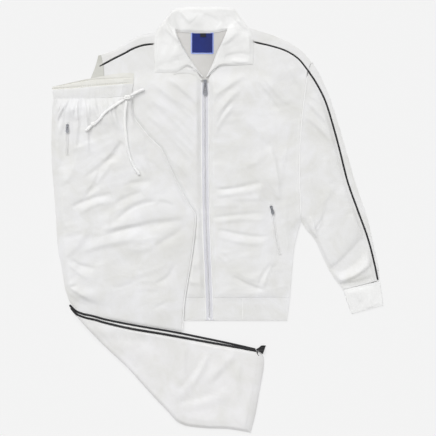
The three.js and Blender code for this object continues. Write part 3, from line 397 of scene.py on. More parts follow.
def cloth(name, grid, under, top, look, nodes=(), slot="cloth", held="laid", rests_on=(), air=EDGE_AIR,
          sheet=True, sewn="", groove=0.1):
    """A closed sheet of cloth over a grid, between two faces. Free edges are drawn in by the air and rounded;
    edges that are sewn meet their neighbour in a shallow groove."""
    grid, u, v = with_edge_rows(inset(np.asarray(grid, float), air, sewn))
    low, high = heights(under, grid, u, v), heights(top, grid, u, v)
    rows, columns = u.shape
    index = np.arange(u.size).reshape(rows, columns)
    free = np.ones(u.shape, bool)
    for side in sewn:
        edge = SIDES[side][0]
        free[edge] = False
        high[edge] = np.maximum(high[edge] - groove, low[edge] + 0.2)
    rim = np.concatenate([index[0, :], index[1:, -1], index[-1, -2::-1], index[-2:0:-1, 0]])
    flat = grid.reshape(-1, 2)
    inner_row, inner_column = (np.clip(np.arange(count), 1, count - 2) for count in (rows, columns))
    inward = grid[inner_row][:, inner_column].reshape(-1, 2) - flat
    inward /= np.maximum(np.linalg.norm(inward, axis=1, keepdims=True), 1e-9)
    lows, highs = low.ravel(), high.ravel()
    middle = (lows + highs) / 2
    soft = np.where(free.ravel()[rim], np.minimum((highs - lows)[rim] * ROUND_SHARE, ROUND_MOST), 0)[:, None]
    face = flat.copy()
    face[rim] += inward[rim] * soft
    part = flat[rim] + inward[rim] * soft * 0.3
    points = [raised(face, lows), raised(face, highs), raised(part, mix(middle[rim], lows[rim], BEVEL)),
              raised(flat[rim], middle[rim]), raised(part, mix(middle[rim], highs[rim], BEVEL))]
    a, b, c, d = (corner.ravel() for corner in (index[:-1, :-1], index[1:, :-1], index[1:, 1:],
                                                index[:-1, 1:]))
    faces = [np.stack([a, d, c, b], axis=1), np.stack([a, b, c, d], axis=1) + u.size]
    ring = np.arange(len(rim))
    rings = [rim, *(2 * u.size + number * len(rim) + ring for number in range(3)), rim + u.size]
    for lower, higher in zip(rings[:-1], rings[1:]):
        faces.append(np.stack([lower, higher, np.roll(higher, -1), np.roll(lower, -1)], axis=1))
    faces = np.vstack(faces)
    e, f = grid[1:, 1:] - grid[:-1, :-1], grid[:-1, 1:] - grid[1:, :-1]
    if (e[..., 0] * f[..., 1] - e[..., 1] * f[..., 0]).sum() < 0:
        faces = faces[:, ::-1]
    made = piece(name, np.vstack(points), faces, look, nodes)
    return made


def tube(name, path, wide, high, sides, look, nodes=(), ripple=None):
    """A soft oval cord along points in millimetres, with rounded ends."""
    step = heading(path)
    side = np.stack([step[:, 1], -step[:, 0], np.zeros(len(path))], axis=-1)
    side /= np.linalg.norm(side, axis=1)[:, None]
    angle = np.linspace(0, 2 * np.pi, sides, endpoint=False)
    gone = gone_along(path)
    ends = np.minimum(gone, gone[-1] - gone) / (min(wide, high) / 2)
    full = np.sqrt(np.clip(1 - (1 - np.clip(ends, 0.12, 1)) ** 2, 0.02, 1))
    waves = ripple(gone[:, None], angle[None, :]) if ripple else np.ones((len(path), sides))
    reach = np.cos(angle)[None, :] * wide / 2 * full[:, None] * waves
    points = path[:, None, :] + side[:, None, :] * reach[..., None]
    points[..., 2] += np.sin(angle)[None, :] * high / 2 * full[:, None] * waves
    points = np.vstack([points.reshape(-1, 3), path[:1], path[-1:]])
    start, end, last = len(points) - 2, len(points) - 1, (len(path) - 1) * sides
    around = [(k, (k + 1) % sides) for k in range(sides)]
    caps = [(k, after, start) for k, after in around] + [(last + after, last + k, end) for k, after in around]
    return piece(name, points, ring_faces(0, len(path), sides), look, nodes, caps)


def highlight_edging(name, line, height, wide, high):
    """A thin raised ridge along a line on a surface; its brighter white is a painted highlight."""
    return tube(name, raised(line, height(*line.T)), wide, high, 8, EDGE_HIGHLIGHT)


STITCH_SHARES = np.array([0, 0.12, 0.5, 0.88, 1])
STITCH_THICK = np.array([0.35, 0.85, 1, 0.85, 0.35])
STITCH_SINK = np.array([-0.25, 0.0, 0.08, 0.0, -0.25])
STITCH_SIDES = 5


def stitches(name, line, height, look=THREAD, pitch=2.7, long=1.9, radius=0.24):
    """A row of sewn stitches along a line that lies on a surface."""
    gone = gone_along(line)
    angle = np.linspace(0, 2 * np.pi, STITCH_SIDES, endpoint=False)
    reach, rise = np.cos(angle) * radius, np.sin(angle) * radius
    points, faces = [], []
    for start in np.arange(pitch / 2, gone[-1] - long, pitch):
        x, y = (np.interp(start + STITCH_SHARES * long, gone, line[:, k]) for k in (0, 1))
        z = height(x, y) + STITCH_SINK
        step = np.array([x[-1] - x[0], y[-1] - y[0]])
        step /= max(np.linalg.norm(step), 1e-9)
        faces.append(ring_faces(len(points) * len(x) * STITCH_SIDES, len(x), STITCH_SIDES))
        side = np.outer(STITCH_THICK, reach)
        points.append(np.stack([x[:, None] + step[1] * side, y[:, None] - step[0] * side,
                                z[:, None] + np.outer(STITCH_THICK, rise)], axis=-1).reshape(-1, 3))
    return piece(name, np.vstack(points), np.vstack(faces), look)


# Folds
Fold = namedtuple("Fold", "x1 y1 x2 y2 bend high wide")


def folds(rows):
    return [Fold(*row) for row in rows]


LEFT_FRONT = folds([
    (64, 354, -10, 295, 4, 2.4, 7.6),
    (53, 318, -6, 258, 4, 2.1, 6.8),
    (35, 281, -7, 212, 4, 1.8, 6.8),
    (27, 326, -7, 295, 3, -1.3, 4.2),
    (35, 295, -6, 236, 3, -1.3, 4.2),
    (92, 343, 151, 269, 3, -1.8, 6.8),
    (109, 348, 170, 287, 3, 1.9, 7.6),
    (174, 373, 201, 326, 0, 1.6, 6.8),
    (64, 258, 125, 193, 5, 1.1, 9.3),
    (127, 181, 145, 50, -5, 2.6, 7.6),
    (167, 181, 154, 83, 4, 1, 8.5),
    (-7, 78, 102, 93, 3, -2.3, 4.7),
    (-4, 62, 113, 78, 3, 1.3, 6.8),
    (-14, 34, 51, 40, 2, 0.8, 6),
    (35, 50, 121, 53, -2, 0.9, 6),
    (-12, 9, 117, 18, -3, -1.3, 4.2),
    (-6, -5, 125, 1, -3, 1, 6.8),
    (-2, -23, 125, -38, 4, -1.8, 5.1),
    (2, -43, 117, -56, 4, 1.1, 6.8),
    (-10, -80, 19, -107, 0, 0.9, 4.2),
    (4, -74, 32, -97, 0, 0.7, 3.8),
    (35, -139, 107, -167, 3, -2.2, 5.1),
    (45, -129, 117, -152, 3, 1.1, 6.8),
    (105, -169, 141, -89, -2, 1.5, 6.8),
    (96, -160, 127, -105, -2, -1.8, 5.1),
    (35, -82, 109, -80, 5, 0.5, 9.3),
    (166, 50, 171, -97, 3, 0.8, 6.8),
    (69, 132, 110, 156, 2, 0.7, 8.5),
    (27, 189, 84, 181, 5, 0.6, 11.9),
])
RIGHT_FRONT = folds([
    (-128, 351, -37, 271, -4, 2.6, 8),
    (-153, 330, -42, 220, -5, 2.6, 9),
    (-167, 295, -47, 173, -5, 2.4, 9),
    (-177, 258, -53, 132, -6, 2.2, 9),
    (-112, 295, -47, 240, -3, -1.5, 5.5),
    (-145, 279, -50, 191, -4, -1.6, 5.5),
    (-153, 236, -55, 147, -4, -1.5, 5.5),
    (-292, 365, -177, 392, 4, 1.6, 9),
    (-249, 356, -165, 372, 3, 1.4, 8),
    (-128, 156, -55, 83, -4, 1.6, 9),
    (-67, -31, -37, -45, 0, 1.2, 7),
    (-79, -105, -42, -113, 0, 1.2, 7),
    (-82, -147, -37, -156, 2, 1.5, 7),
    (-194, 418, -165, 385, 0, 1.2, 7),
])
SLEEVE = folds([
    (211, 295, 280, 218, -4, 2.4, 8),
    (208, 258, 284, 181, -4, 2, 8),
    (219, 305, 268, 271, -3, 1.4, 7),
    (233, -28, 262, 30, 3, -1.6, 6),
    (250, 40, 280, 84, 3, 1.0, 8),
    (203, 5, 234, -41, 0, -2, 5.5),
    (225, 9, 238, -41, -2, 2.4, 6),
    (236, -28, 254, 11, 2, 1.4, 7),
    (268, -121, 355, -38, 14, -5.5, 17),
    (297, -147, 382, -86, 13, 3.6, 8),
    (296, -159, 374, -142, 4, -4.8, 10),
    (305, -170, 394, -156, 2, 2, 6),
    (329, 18, 354, -48, 3, 1.6, 9),
    (260, 156, 283, 95, 3, 1, 10),
    (305, 83, 323, 18, 3, 0.9, 10),
])
LEG = folds([
    (-361, 34, -263, 64, -6, -2.0, 5),
    (-340, 17, -263, 46, -5, 1.3, 6),
    (-330, 54, -292, 127, 6, -1.5, 5),
    (-326, 107, -238, 192, 6, -1.5, 6),
    (-279, 144, -238, 193, 4, -2.0, 6),
    (-303, 88, -262, 150, 5, 1.4, 7),
    (-255, 38, -186, 70, -5, -1.5, 6),
    (-222, 91, -169, 95, -3, -1.4, 6),
    (-251, 5, -153, 46, -10, -2.0, 7),
    (-153, 46, -110, 34, -3, -1.1, 6),
    (-275, -36, -88, 1, -8, -2.6, 7),
    (-284, -23, -186, -11, -4, 1.4, 7),
    (-328, -73, -186, -48, -6, 1.7, 9),
    (-161, -64, -75, -3, 5, -1.5, 8),
    (-153, -154, -108, -113, 4, -1.7, 6),
    (-262, -163, -201, -150, 3, -0.9, 8),
    (-205, -172, -145, -175, 2, -0.8, 7),
    (-162, -214, -128, -195, 3, -1.2, 5),
    (-377, -89, -321, -6, 10, 1.2, 10),
    (-361, -93, -304, -117, 6, -1.7, 6),
    (-366, -108, -318, -140, 5, 1.2, 6),
    (-377, -162, -348, -158, 2, -1.5, 4),
    (-379, -176, -350, -184, 2, 1.0, 5),
    (-199, 147, -169, 91, 3, -1.2, 9),
    (-183, 198, -160, 112, 3, -1.0, 8),
    (-178, 150, -104, 80, -4, -1.0, 8),
    (-356, 288, -352, 170, 3, 1.8, 6),
    (-343, 292, -346, 180, -3, -2.0, 5),
    (-381, 291, -409, 222, 3, -2.6, 4),
    (-372, 291, -402, 226, 3, 1.8, 4),
    (-363, 289, -397, 236, 3, -2.0, 4),
    (-312, 262, -318, 190, 2, -1.6, 7),
    (-374, -160, -272, -208, 3, 3.4, 9),
    (-267, 18, -267, -60, 4, 0.8, 8),
    (-226, -66, -145, -69, 4, 0.8, 11),
    (-390, 83, -361, 116, 3, 1.0, 9),
    (-400, 40, -352, -40, 4, 0.9, 9),
])
FLAP = folds([
    (-79, -309, -79, -407, 5, 1.6, 9),
    (-24, -330, -104, -436, -8, 3, 10),
    (-47, -334, -108, -422, -7, -2, 8),
    (39, -325, -30, -399, -6, 2.4, 9),
    (27, -342, -26, -399, -5, -1.6, 7),
    (-96, -441, 19, -401, 8, -2, 9),
    (-87, -459, 27, -419, 8, 2, 11),
    (53, -350, 48, -440, 3, 1.1, 9),
    (-210, -260, -200, -312, 3, 1, 12),
    (-292, -264, -194, -342, 6, 1.3, 14),
    (27, -466, 78, -507, 2, 1.1, 10),
    (-79, -481, 35, -490, 4, 1, 8),
])


LIT_FROM = (-0.42, 0.8)  # the side that the light comes from
STEEP, GENTLE = 0.75, 2.2  # widths of a fold's shaded and lit sides


def creases(rows, x, y):
    """How far the folds lift the cloth: each falls steeply on its shaded side and gently on its lit one."""
    height = np.zeros(np.shape(x))
    for number, fold in enumerate(rows):
        dx, dy = fold.x2 - fold.x1, fold.y2 - fold.y1
        length = math.hypot(dx, dy)
        t = ((x - fold.x1) * dx + (y - fold.y1) * dy) / length ** 2
        share = np.clip(t, 0, 1)
        beyond = np.abs(t - share) * length
        arch = 4 * share * (1 - share)
        wander = 1.3 * np.sin(share * (4 + number % 3) + number * 1.7) * min(1.0, length / 60)
        aside = ((x - fold.x1) * dy - (y - fold.y1) * dx) / length - fold.bend * arch - wander
        towards = 1 if dy * LIT_FROM[0] - dx * LIT_FROM[1] > 0 else -1
        width = fold.wide * (0.6 + 0.55 * share) * np.where(aside * towards * fold.high < 0, STEEP, GENTLE)
        away = (aside / width) ** 2 + (beyond / (fold.wide * 1.6)) ** 2
        height += 1.1 * fold.high * (np.sqrt(arch) * 0.85 + 0.15) * np.exp(-away ** 0.85)
    return height


NOISE_CELLS = 64


def noise(x, y, size, seed):
    """Smooth uneven bumps between -1 and 1, the given size across."""
    table = np.random.default_rng(seed).uniform(-1, 1, (NOISE_CELLS, NOISE_CELLS))
    gx, gy = np.asarray(x) / size + 1000.37, np.asarray(y) / size + 1000.61
    ix, iy = np.floor(gx).astype(int), np.floor(gy).astype(int)
    fx, fy = gx - ix, gy - iy
    fx, fy = fx * fx * (3 - 2 * fx), fy * fy * (3 - 2 * fy)
    left, right, low, high = (k % NOISE_CELLS for k in (ix, ix + 1, iy, iy + 1))
    near, far = mix(table[left, low], table[right, low], fx), mix(table[left, high], table[right, high], fx)
    return mix(near, far, fy)


def crumple(x, y, seed, turn=0.0, stretch=2.2):
    """Fine wrinkles of the soft knit, longer along one direction."""
    c, s = math.cos(turn), math.sin(turn)
    a, b = (c * x + s * y) / stretch, -s * x + c * y
    a, b = a + 5 * noise(x, y, 45, seed + 7), b + 5 * noise(x, y, 45, seed + 8)
    ridged = 1 - np.abs(noise(a, b, 19, seed + 1)) * 2
    return 0.9 * noise(a, b, 34, seed) + 0.38 * ridged + 0.12 * noise(a, b, 8, seed + 2)


def settle(height):
    """Keeps cloth at or above its lowest place, with a soft change instead of a corner."""
    return (height + np.sqrt(height ** 2 + 0.35)) / 2


def distance_to(line, x, y):
    """Distance of each point from a line given by closely spaced points."""
    least = np.full(np.shape(x), 1e9)
    for px, py in line:
        least = np.minimum(least, (x - px) ** 2 + (y - py) ** 2)
    return np.sqrt(least)


def edge_curve(distance, radius=10.0):
    """How high cloth stands beside a folded edge: round, and full at the radius."""
    t = np.clip(distance / radius, 0, 1)
    return np.sqrt(np.clip(1 - (1 - t) ** 2, 0, 1))


def above(height, rise):
    """A face that lies above another."""
    return lambda x, y, *shares: height(x, y, *shares) + rise


# Camera and lights
PHOTO = 436  # pixels each way
PIXEL = 2.45  # millimetres in each pixel, at the cloth
CLOTH_HIGH = 0.008  # metres, the height at which a pixel has that size
VIEW_MIDDLE = (-2.45, 6.1)
CAMERA_HIGH = 3.4
SENSOR = 36
WORLD_LIGHT = 0.42
LAMPS = [  # name, direction it stands in, softness in radians, power
    ("key", (-0.42, 0.8, 1.1), 0.85, 1.9),
    ("fill", (0.8, -0.5, 1.1), 0.9, 0.3),
]


def camera_and_lights():
    scene = bpy.context.scene
    data = bpy.data.cameras.new("camera")
    scene.camera = in_scene("camera", data)
    scene.camera.location = metres(*VIEW_MIDDLE, CAMERA_HIGH * 1000)
    data.sensor_fit = "HORIZONTAL"
    data.sensor_width = SENSOR
    data.lens = SENSOR * (CAMERA_HIGH - CLOTH_HIGH) / (PHOTO * PIXEL / 1000)
    data.clip_end = 50
    scene.world = bpy.data.worlds.new("studio")
    scene.world.use_nodes = True
    background = scene.world.node_tree.nodes["Background"]
    background.inputs["Color"].default_value = (1, 1, 1, 1)
    background.inputs["Strength"].default_value = WORLD_LIGHT
    for name, towards, soft, power in LAMPS:
        lamp = bpy.data.lights.new(name, "SUN")
        lamp.angle = soft
        lamp.energy = power
        in_scene(name, lamp).rotation_euler = Vector(towards).to_track_quat("Z", "Y").to_euler()
    scene.view_settings.view_transform = "Standard"
    scene.view_settings.look = "None"


camera_and_lights()

# The zip's middle line and the trousers' right edge
ZIP = [(-34, 344), (-34, 205), (-32, 13), (-26, -146), (-24, -191), (-23, -248)]
ZIP_FINE = along(ZIP, 400)
RISE = [(-216, 304.6), (-208, 254), (-191, 229), (-169, 202), (-142, 175), (-130, 153), (-115, 119),
        (-96, 80), (-76, 43), (-58, 16)]
INSEAM = [(-58, 16), (-59, -9), (-65, -67), (-76, -137), (-86, -200), (-90.3, -273.8)]
EDGE_FINE = join([(-205, 420)], along(RISE, 200), along(INSEAM, 200), [(-90.3, -600)])
BODY_SIDE = [(201, -1), (185, -65), (178, -138), (174, -191), (167, -247)]
SIDE_FINE = join([(201, 600)], along(BODY_SIDE, 100))
SLIT_LEAN = 0.19
ARMHOLE = [(218, 366), (210, 305), (200, 205), (198, 124), (201, -1)]
ARMHOLE_FINE = along(ARMHOLE, 60)


def zip_x(y):
    return line_x(ZIP_FINE, y)


def beside_zip(high, low, steps, away):
    y = np.linspace(high, low, steps + 1)
    return np.stack([zip_x(y) + away, y], axis=-1)


def clear_of_trousers(x, y):
    """Share of free height: none under the trousers, and all of it above their waist or beside them."""
    return np.maximum(smooth(1.5, 8, x - line_x(EDGE_FINE, y)), smooth(366, 388, y))


def jacket_lift(x, y):
    """Height of the jacket's fronts above their flat state."""
    clear = clear_of_trousers(x, y)
    to_side, from_zip = line_x(SIDE_FINE, y) - x, np.abs(x - zip_x(y))
    collar = 1 - smooth(330, 372, y + np.maximum(0, x - 90) * 0.35) * smooth(130, 90, x)
    side = np.maximum(smooth(0, 18, to_side), smooth(-18, 12, y))
    slit = smooth(3, 34, np.abs(x - (126 - (y - 38) * SLIT_LEAN))) + smooth(38, 104, y) + smooth(-84, -130, y)
    band = mix(0.25, 1.0, smooth(-200, -176, y))
    puff = 4.0 * smooth(-248, -180, y) * np.maximum(smooth(0, 60, to_side), smooth(-40, 20, y))
    right = x < zip_x(y)
    hand = np.where(right, creases(RIGHT_FRONT, x, y), creases(LEFT_FRONT, x, y))
    wrinkles = np.where(right, crumple(x, y, 11, turn=-0.8), crumple(x, y, 12, turn=0.25))
    pucker = 0.16 * np.sin(y / 2.6 + 2 * np.sin(y / 19)) * smooth(15, 10, from_zip) * smooth(7.9, 9, from_zip)
    free = settle(band * (puff + 1.25 * hand + 1.15 * wrinkles) - 0.2)
    shape = clear * collar * side * smooth(9, 22, from_zip) * smooth(-246, -236, y) * np.minimum(1, slit)
    seam = 0.9 * np.exp(-((x - line_x(ARMHOLE_FINE, y) + 3) / 3.2) ** 2) * smooth(-6, 12, y)
    return shape * (free + seam) + pucker * clear * smooth(340, 320, y)


def front_under(x, y, *shares):
    return FRONT + jacket_lift(x, y)


def front_top(x, y, *shares):
    return FRONT_TOP + jacket_lift(x, y)


# Jacket body
ARMHOLE_RIGHT = [(-284, 381), (-277, 305), (-267, 205), (-265, 124), (-266, -1)]
SIDE = [(201, -1), (185, -65), (178, -138), (174, -190)]
SIDE_RIGHT = [(-266, -1), (-247, -65), (-238, -138), (-230, -190)]
SHOULDER = [(66, 447), (83, 439), (124, 429), (164, 416), (194, 397), (218, 368)]
SHOULDER_RIGHT = [(-145, 434), (-158, 433), (-186, 430), (-212, 421), (-230, 411), (-258, 397), (-284, 383)]
OUTLINE_LEFT = [(47, 486), (69, 475), (139, 452), (175, 435), (203, 416), (228, 388)]
OUTLINE_RIGHT = [(-150, 462), (-162, 462), (-188, 456), (-221, 441), (-255, 419), (-288, 407)]
NECK_TOP = 345
BACK = ["jacket_back_panel"]


def jacket_back():
    k = 4
    nape = [OUTLINE_RIGHT[0], (-100, 482), (-34, 487), (20, 486), OUTLINE_LEFT[0]]
    top = join(along(OUTLINE_RIGHT[::-1], 4 * k), along(nape, 3 * k), along(OUTLINE_LEFT, 4 * k))
    left = join(straight(OUTLINE_RIGHT[5], ARMHOLE_RIGHT[0], steps=k), along(ARMHOLE_RIGHT, 5 * k),
                along(SIDE_RIGHT, 4 * k))
    right = join(straight(OUTLINE_LEFT[5], ARMHOLE[0], steps=k), along(ARMHOLE, 5 * k), along(SIDE, 4 * k))
    bottom = straight(SIDE_RIGHT[3], SIDE[3], steps=11 * k)
    # The back panel takes the darker grey: inner face of the cloth with painted shade of the neck opening.
    cloth("jacket_back_panel", fill(top, bottom, left, right), 0, BACK_TOP, CLOTH_INNER_SHADED, ["jacket_back"],
          slot="cloth_inner")


def jacket_front(name, grid):
    cloth(f"{name}_panel", grid, front_under, front_top, CLOTH, [name], rests_on=BACK, sewn="tblr")


def jacket_fronts():
    k, down = 5, 9
    zip_top = float(zip_x(341))
    shoulder = offset(along(SHOULDER, 10 * k), PIPING_HALF)
    neck = [(zip_top + ZIP_HALF, NECK_TOP), (-14, 374), (4, 412), (32, 438), (66, 444.4)]
    top = join(along(neck, 6 * k), shoulder)
    top[6 * k] = shoulder[0]
    armhole = along(ARMHOLE, 10 * down)
    side = join(straight(top[-1], armhole[down], steps=down), armhole[down:], along(SIDE, 10 * down))
    inner = beside_zip(341, -190, 20 * down, ZIP_HALF)
    inner[0] = top[0]
    bottom = straight(inner[-1], SIDE[3], steps=16 * k)
    jacket_front("jacket_front_left", fill(top, bottom, inner, side))

    down = 8
    neck = [(-145, 431.5), (-112, 438), (-88, 414), (-61, 376), (zip_top - ZIP_HALF, NECK_TOP)]
    top = join(offset(along(SHOULDER_RIGHT[::-1], 10 * k), PIPING_HALF), along(neck, 5 * k))
    armhole = along(ARMHOLE_RIGHT, 10 * down)
    side = join(straight(top[0], armhole[down], steps=down), armhole[down:], along(SIDE_RIGHT, 9 * down))
    inner = beside_zip(341, -190, 19 * down, -ZIP_HALF)
    inner[0] = top[-1]
    bottom = straight(SIDE_RIGHT[3], inner[-1], steps=15 * k)
    jacket_front("jacket_front_right", fill(top, bottom, side, inner))


def shoulder_top(x, y, u, v):
    rumple = 0.35 * crumple(x, y, 21, turn=0.2) * smooth(0, 0.3, np.minimum(v, 1 - v))
    return FRONT_TOP + rumple - 0.9 * smooth(0.35, 0, v)


def jacket_shoulders():
    for name, outline, shoulder, first, last in (
            ("left", OUTLINE_LEFT, SHOULDER, (54, 468), (223, 380)),
            ("right", OUTLINE_RIGHT[::-1], SHOULDER_RIGHT[::-1], (-287, 397), (-149, 449))):
        outline, edge = along(outline, 60), offset(along(shoulder, 60), -PIPING_HALF)
        ends = [along([outline[k], middle, edge[k]], 12) for k, middle in ((0, first), (-1, last))]
        cloth(f"jacket_shoulder_{name}_panel", fill(outline, edge, *ends), FRONT, shoulder_top, CLOTH,
              [f"jacket_shoulder_{name}"], rests_on=BACK, sewn="blr")


jacket_back()
jacket_fronts()
jacket_shoulders()

# Sleeves and cuff
PIPING_LEFT = [(218, 368), (238, 338), (260, 295), (280, 232), (296, 173), (316, 94), (340, 26), (365, -43),
               (381, -104), (390, -148)]
SLEEVE_INNER = [(201, -1), (214, -22), (232, -43), (254, -88), (275, -130), (304, -170)]
SLEEVE_OUTER = [(228, 388), (239, 373), (268, 312), (292, 240), (311, 175), (333, 99), (365, 2), (382, -72),
                (392, -121), (395, -149)]
RIGHT_SLEEVE_OUTER = [(-296, 405), (-303, 380), (-314, 352), (-328, 320), (-341, 271), (-347, 150), (-348, 0),
                      (-344, -120), (-338, -190)]
SLEEVE_PIPED_FINE = offset(along(PIPING_LEFT, 90), PIPING_HALF)
SLEEVE_INNER_FINE = along(SLEEVE_INNER, 60)
CUFF_TOP = [(304, -170), (349, -159.5), (395, -149)]
CUFF_BOTTOM = [(325, -229), (364, -219), (403, -208)]
RIBS = 29
SLEEVE_BACK = ["jacket_sleeve_left_back_panel"]


def sleeve_lift(x, y):
    """Height of the sleeve's front above its flat state; at the armhole it meets the jacket's front."""
    armhole = smooth(0, 26, x - line_x(ARMHOLE_FINE, y))
    piped = smooth(0, 14, line_x(SLEEVE_PIPED_FINE, y) - x)
    inner = smooth(0, 12, x - line_x(SLEEVE_INNER_FINE, y)) + smooth(-20, 6, y)
    cuff = smooth(-152, -140, y - (x - 304) * 0.23 + 23)
    free = settle(4.0 + 1.25 * creases(SLEEVE, x, y) + 1.0 * crumple(x, y, 31, turn=1.9) - 0.2)
    joined = mix(jacket_lift(x, y), free, armhole)
    return mix(joined, free, smooth(6, -20, y)) * piped * np.minimum(1, inner) * cuff


def left_sleeve():
    down = 8
    inner = join(straight((217, 360.6), along(ARMHOLE, 10)[1], steps=down), along(ARMHOLE, 10 * down)[down:],
                 along(SLEEVE_INNER, 14 * down))
    outer = offset(along(PIPING_LEFT, 24 * down), PIPING_HALF)
    outer[0] = (218.9, 361.2)
    shares = finer([0, 0.1, 0.25, 0.42, 0.6, 0.78, 0.92, 1], 8)
    cloth("jacket_sleeve_left_front_panel", between(inner, outer, shares),
          lambda x, y, u, v: FRONT + sleeve_lift(x, y), lambda x, y, u, v: FRONT_TOP + sleeve_lift(x, y),
          CLOTH_ACROSS, ["jacket_sleeve_left_front"], rests_on=SLEEVE_BACK, sewn="tlbr")
    steps, last = 192, 184
    strip_in = offset(along(PIPING_LEFT, steps), -PIPING_HALF)[:last]
    cloth("jacket_sleeve_left_strip_panel", between(strip_in, along(SLEEVE_OUTER, steps)[:last], 8), FRONT,
          lambda x, y, u, v: FRONT_TOP - 0.8 * smooth(0.4, 1, u) + 0.2 * noise(x, y, 12, 5), CLOTH_ACROSS,
          ["jacket_sleeve_left_strip"], rests_on=SLEEVE_BACK, sewn="tlb")
    k = 5
    back_in = join(straight(OUTLINE_LEFT[5], ARMHOLE[0], steps=k), along(ARMHOLE, 5 * k),
                   along(SLEEVE_INNER, 7 * k))
    back_out = along(SLEEVE_OUTER, len(back_in) - 1)
    back_out[0] = (229, 388.6)
    cloth("jacket_sleeve_left_back_panel", between(back_in, back_out, 8), 0, BACK_TOP, CLOTH_ACROSS,
          ["jacket_sleeve_left_back"])


def right_sleeve():
    inner = join(straight((-289.4, 406.4), ARMHOLE_RIGHT[0], steps=4), along(ARMHOLE_RIGHT, 40),
                 along([(-266, -1), (-264, -100), (-262, -190)], 30))
    grid = between(along(RIGHT_SLEEVE_OUTER, len(inner) - 1), inner, finer([0, 0.06, 0.2, 0.6, 1], 5))
    cloth("jacket_sleeve_right_under_layer", grid, 0, 1.5, CLOTH_ACROSS, ["jacket_sleeve_right"])

    def upper_top(x, y, u, v):
        edge, joined = smooth(0, 0.16, u), smooth(0.75, 1, u)
        rumple = edge * mix(1.2 * crumple(x, y, 23, turn=1.2), 0, joined) * smooth(366, 388, y)
        return FRONT_TOP - 0.9 * (1 - edge) + rumple + joined * jacket_lift(x, y)

    # The upper layer takes the darker cloth as painted shade of the folded sleeve.
    cloth("jacket_sleeve_right_upper_layer", grid, 1.75, upper_top, CLOTH_SHADE,
          rests_on=["jacket_sleeve_right_under_layer"], sewn="r", groove=0.4)


def cuff():
    def rib(x, y, u, v):
        wave = np.cos(2 * np.pi * u * RIBS)
        bulge = 1.1 + 1.3 * noise(x, y, 27, 41) + 0.5 * noise(x, y, 13, 42)
        inside = smooth(0, 0.2, v) * smooth(1, 0.9, v) * smooth(0, 0.12, np.minimum(u, 1 - u))
        return FRONT_TOP + 0.1 + 0.1 * wave * smooth(0, 0.05, v) + bulge * inside

    for side, steps, cells, under, top, more in (
            ("front", RIBS * 8, 30, FRONT, rib, {"rests_on": ["jacket_cuff_left_back_rib"], "sewn": "t"}),
            ("back", 24, 8, 0, BACK_TOP, {})):
        grid = crosswise(along(CUFF_TOP, steps), along(CUFF_BOTTOM, steps), cells)
        cloth(f"jacket_cuff_left_{side}_rib", grid, under, top, RIB, [f"jacket_cuff_left_{side}"],
              slot="cuff_rib", **more)


left_sleeve()
right_sleeve()
cuff()

# Hem band
HEM_HIGH, HEM_LOW = -190, -246
HEM_LEFT, HEM_RIGHT = 58, -106
HEM_BACK = ["jacket_hem_band_back_cloth"]


def band_top(x, y, u, v):
    roll = 0.35 * smooth(0, 0.12, v) * smooth(1, 0.85, v)
    gather = 0.14 * noise(x * 3, y, 9, 51) * smooth(0, 0.2, v) * smooth(1, 0.6, v)
    return front_top(x, y) + (roll + gather) * clear_of_trousers(x, y)


def hem_band():
    def strip(left_high, right_high, right_low, left_low, cells):
        high = straight((left_high, HEM_HIGH), (right_high, HEM_HIGH), steps=cells)
        low = straight((left_low, HEM_LOW), (right_low, HEM_LOW), steps=cells)
        return crosswise(high, low, 24)

    zip_high, zip_low = float(zip_x(HEM_HIGH)), float(zip_x(HEM_LOW))
    for name, places, cells, joins in (
            ("end_left", (zip_high + ZIP_HALF, HEM_LEFT, HEM_LEFT, zip_low + ZIP_HALF), 30, "r"),
            ("band_left", (HEM_LEFT, 174, 167, HEM_LEFT), 50, "l"),
            ("end_right", (HEM_RIGHT, zip_high - ZIP_HALF, zip_low - ZIP_HALF, HEM_RIGHT), 30, "l"),
            ("band_right", (-230, HEM_RIGHT, HEM_RIGHT, -222), 30, "r")):
        cloth(f"jacket_hem_{name}_cloth", strip(*places, cells), front_under, band_top, CLOTH,
              [f"jacket_hem_{name}"], rests_on=HEM_BACK, sewn="t" + joins, groove=0.15)
    cloth(*HEM_BACK, strip(-230, 174, 167, -222, 60), 0, BACK_TOP, CLOTH, ["jacket_hem_band_back"])


hem_band()

# Collar
ROLL_LEFT = [(20, 467), (8, 440), (-4, 415), (-20, 376), (-33, 350)]
FALL_LEFT = [(39, 519), (59, 491), (76, 468), (82, 450), (84, 430), (84, 383)]
FALL_LEFT_END = [(-33, 350), (-14, 367), (2, 377), (40, 380), (84, 383)]
ROLL_RIGHT = [(-105, 463), (-99, 446), (-81, 413), (-56, 376), (-37, 350)]
FALL_RIGHT = [(-116, 515), (-135, 490), (-152, 467), (-158, 448), (-158, 363)]
FALL_RIGHT_END = [(-37, 350), (-58, 368), (-78, 377), (-106, 364), (-158, 363)]
TURN_LEFT = [(20, 467), (39, 519)]
TURN_RIGHT = [(-105, 463), (-116, 490), (-116, 515)]
BAND_TOP = [(-116, 515), (-96, 522), (-34, 524), (22, 523), (39, 519)]
BAND_BOTTOM = [(-105, 463), (-72, 460), (-34, 459), (-6, 461), (20, 467)]
STITCHED = 0.93  # share of the collar's width at which its edge is sewn
COLLAR = folds([
    (-120, 508, -90, 405, -6, 4.0, 8),
    (-131, 495, -106, 425, -5, -3.0, 6),
    (-146, 378, -98, 392, 3, -3.4, 9),
    (-150, 366, -92, 372, 3, -1.8, 5),
    (-131, 470, -66, 384, -8, 2.2, 7),
    (12, 400, 82, 404, -3, -3.8, 9),
    (52, 470, 84, 462, 2, -3.0, 5),
    (28, 497, 58, 468, -2, -2.8, 5),
    (5, 432, 46, 466, 4, 2.8, 9),
    (18, 502, 20, 470, 2, -3.0, 6),
    (-95, 512, -66, 486, 2, 2.8, 8),
    (-36, 505, 0, 478, -3, -2.4, 10),
    (-66, 402, -52, 382, 0, 1.6, 5),
    (30, 392, 66, 388, 2, 2.0, 6),
])


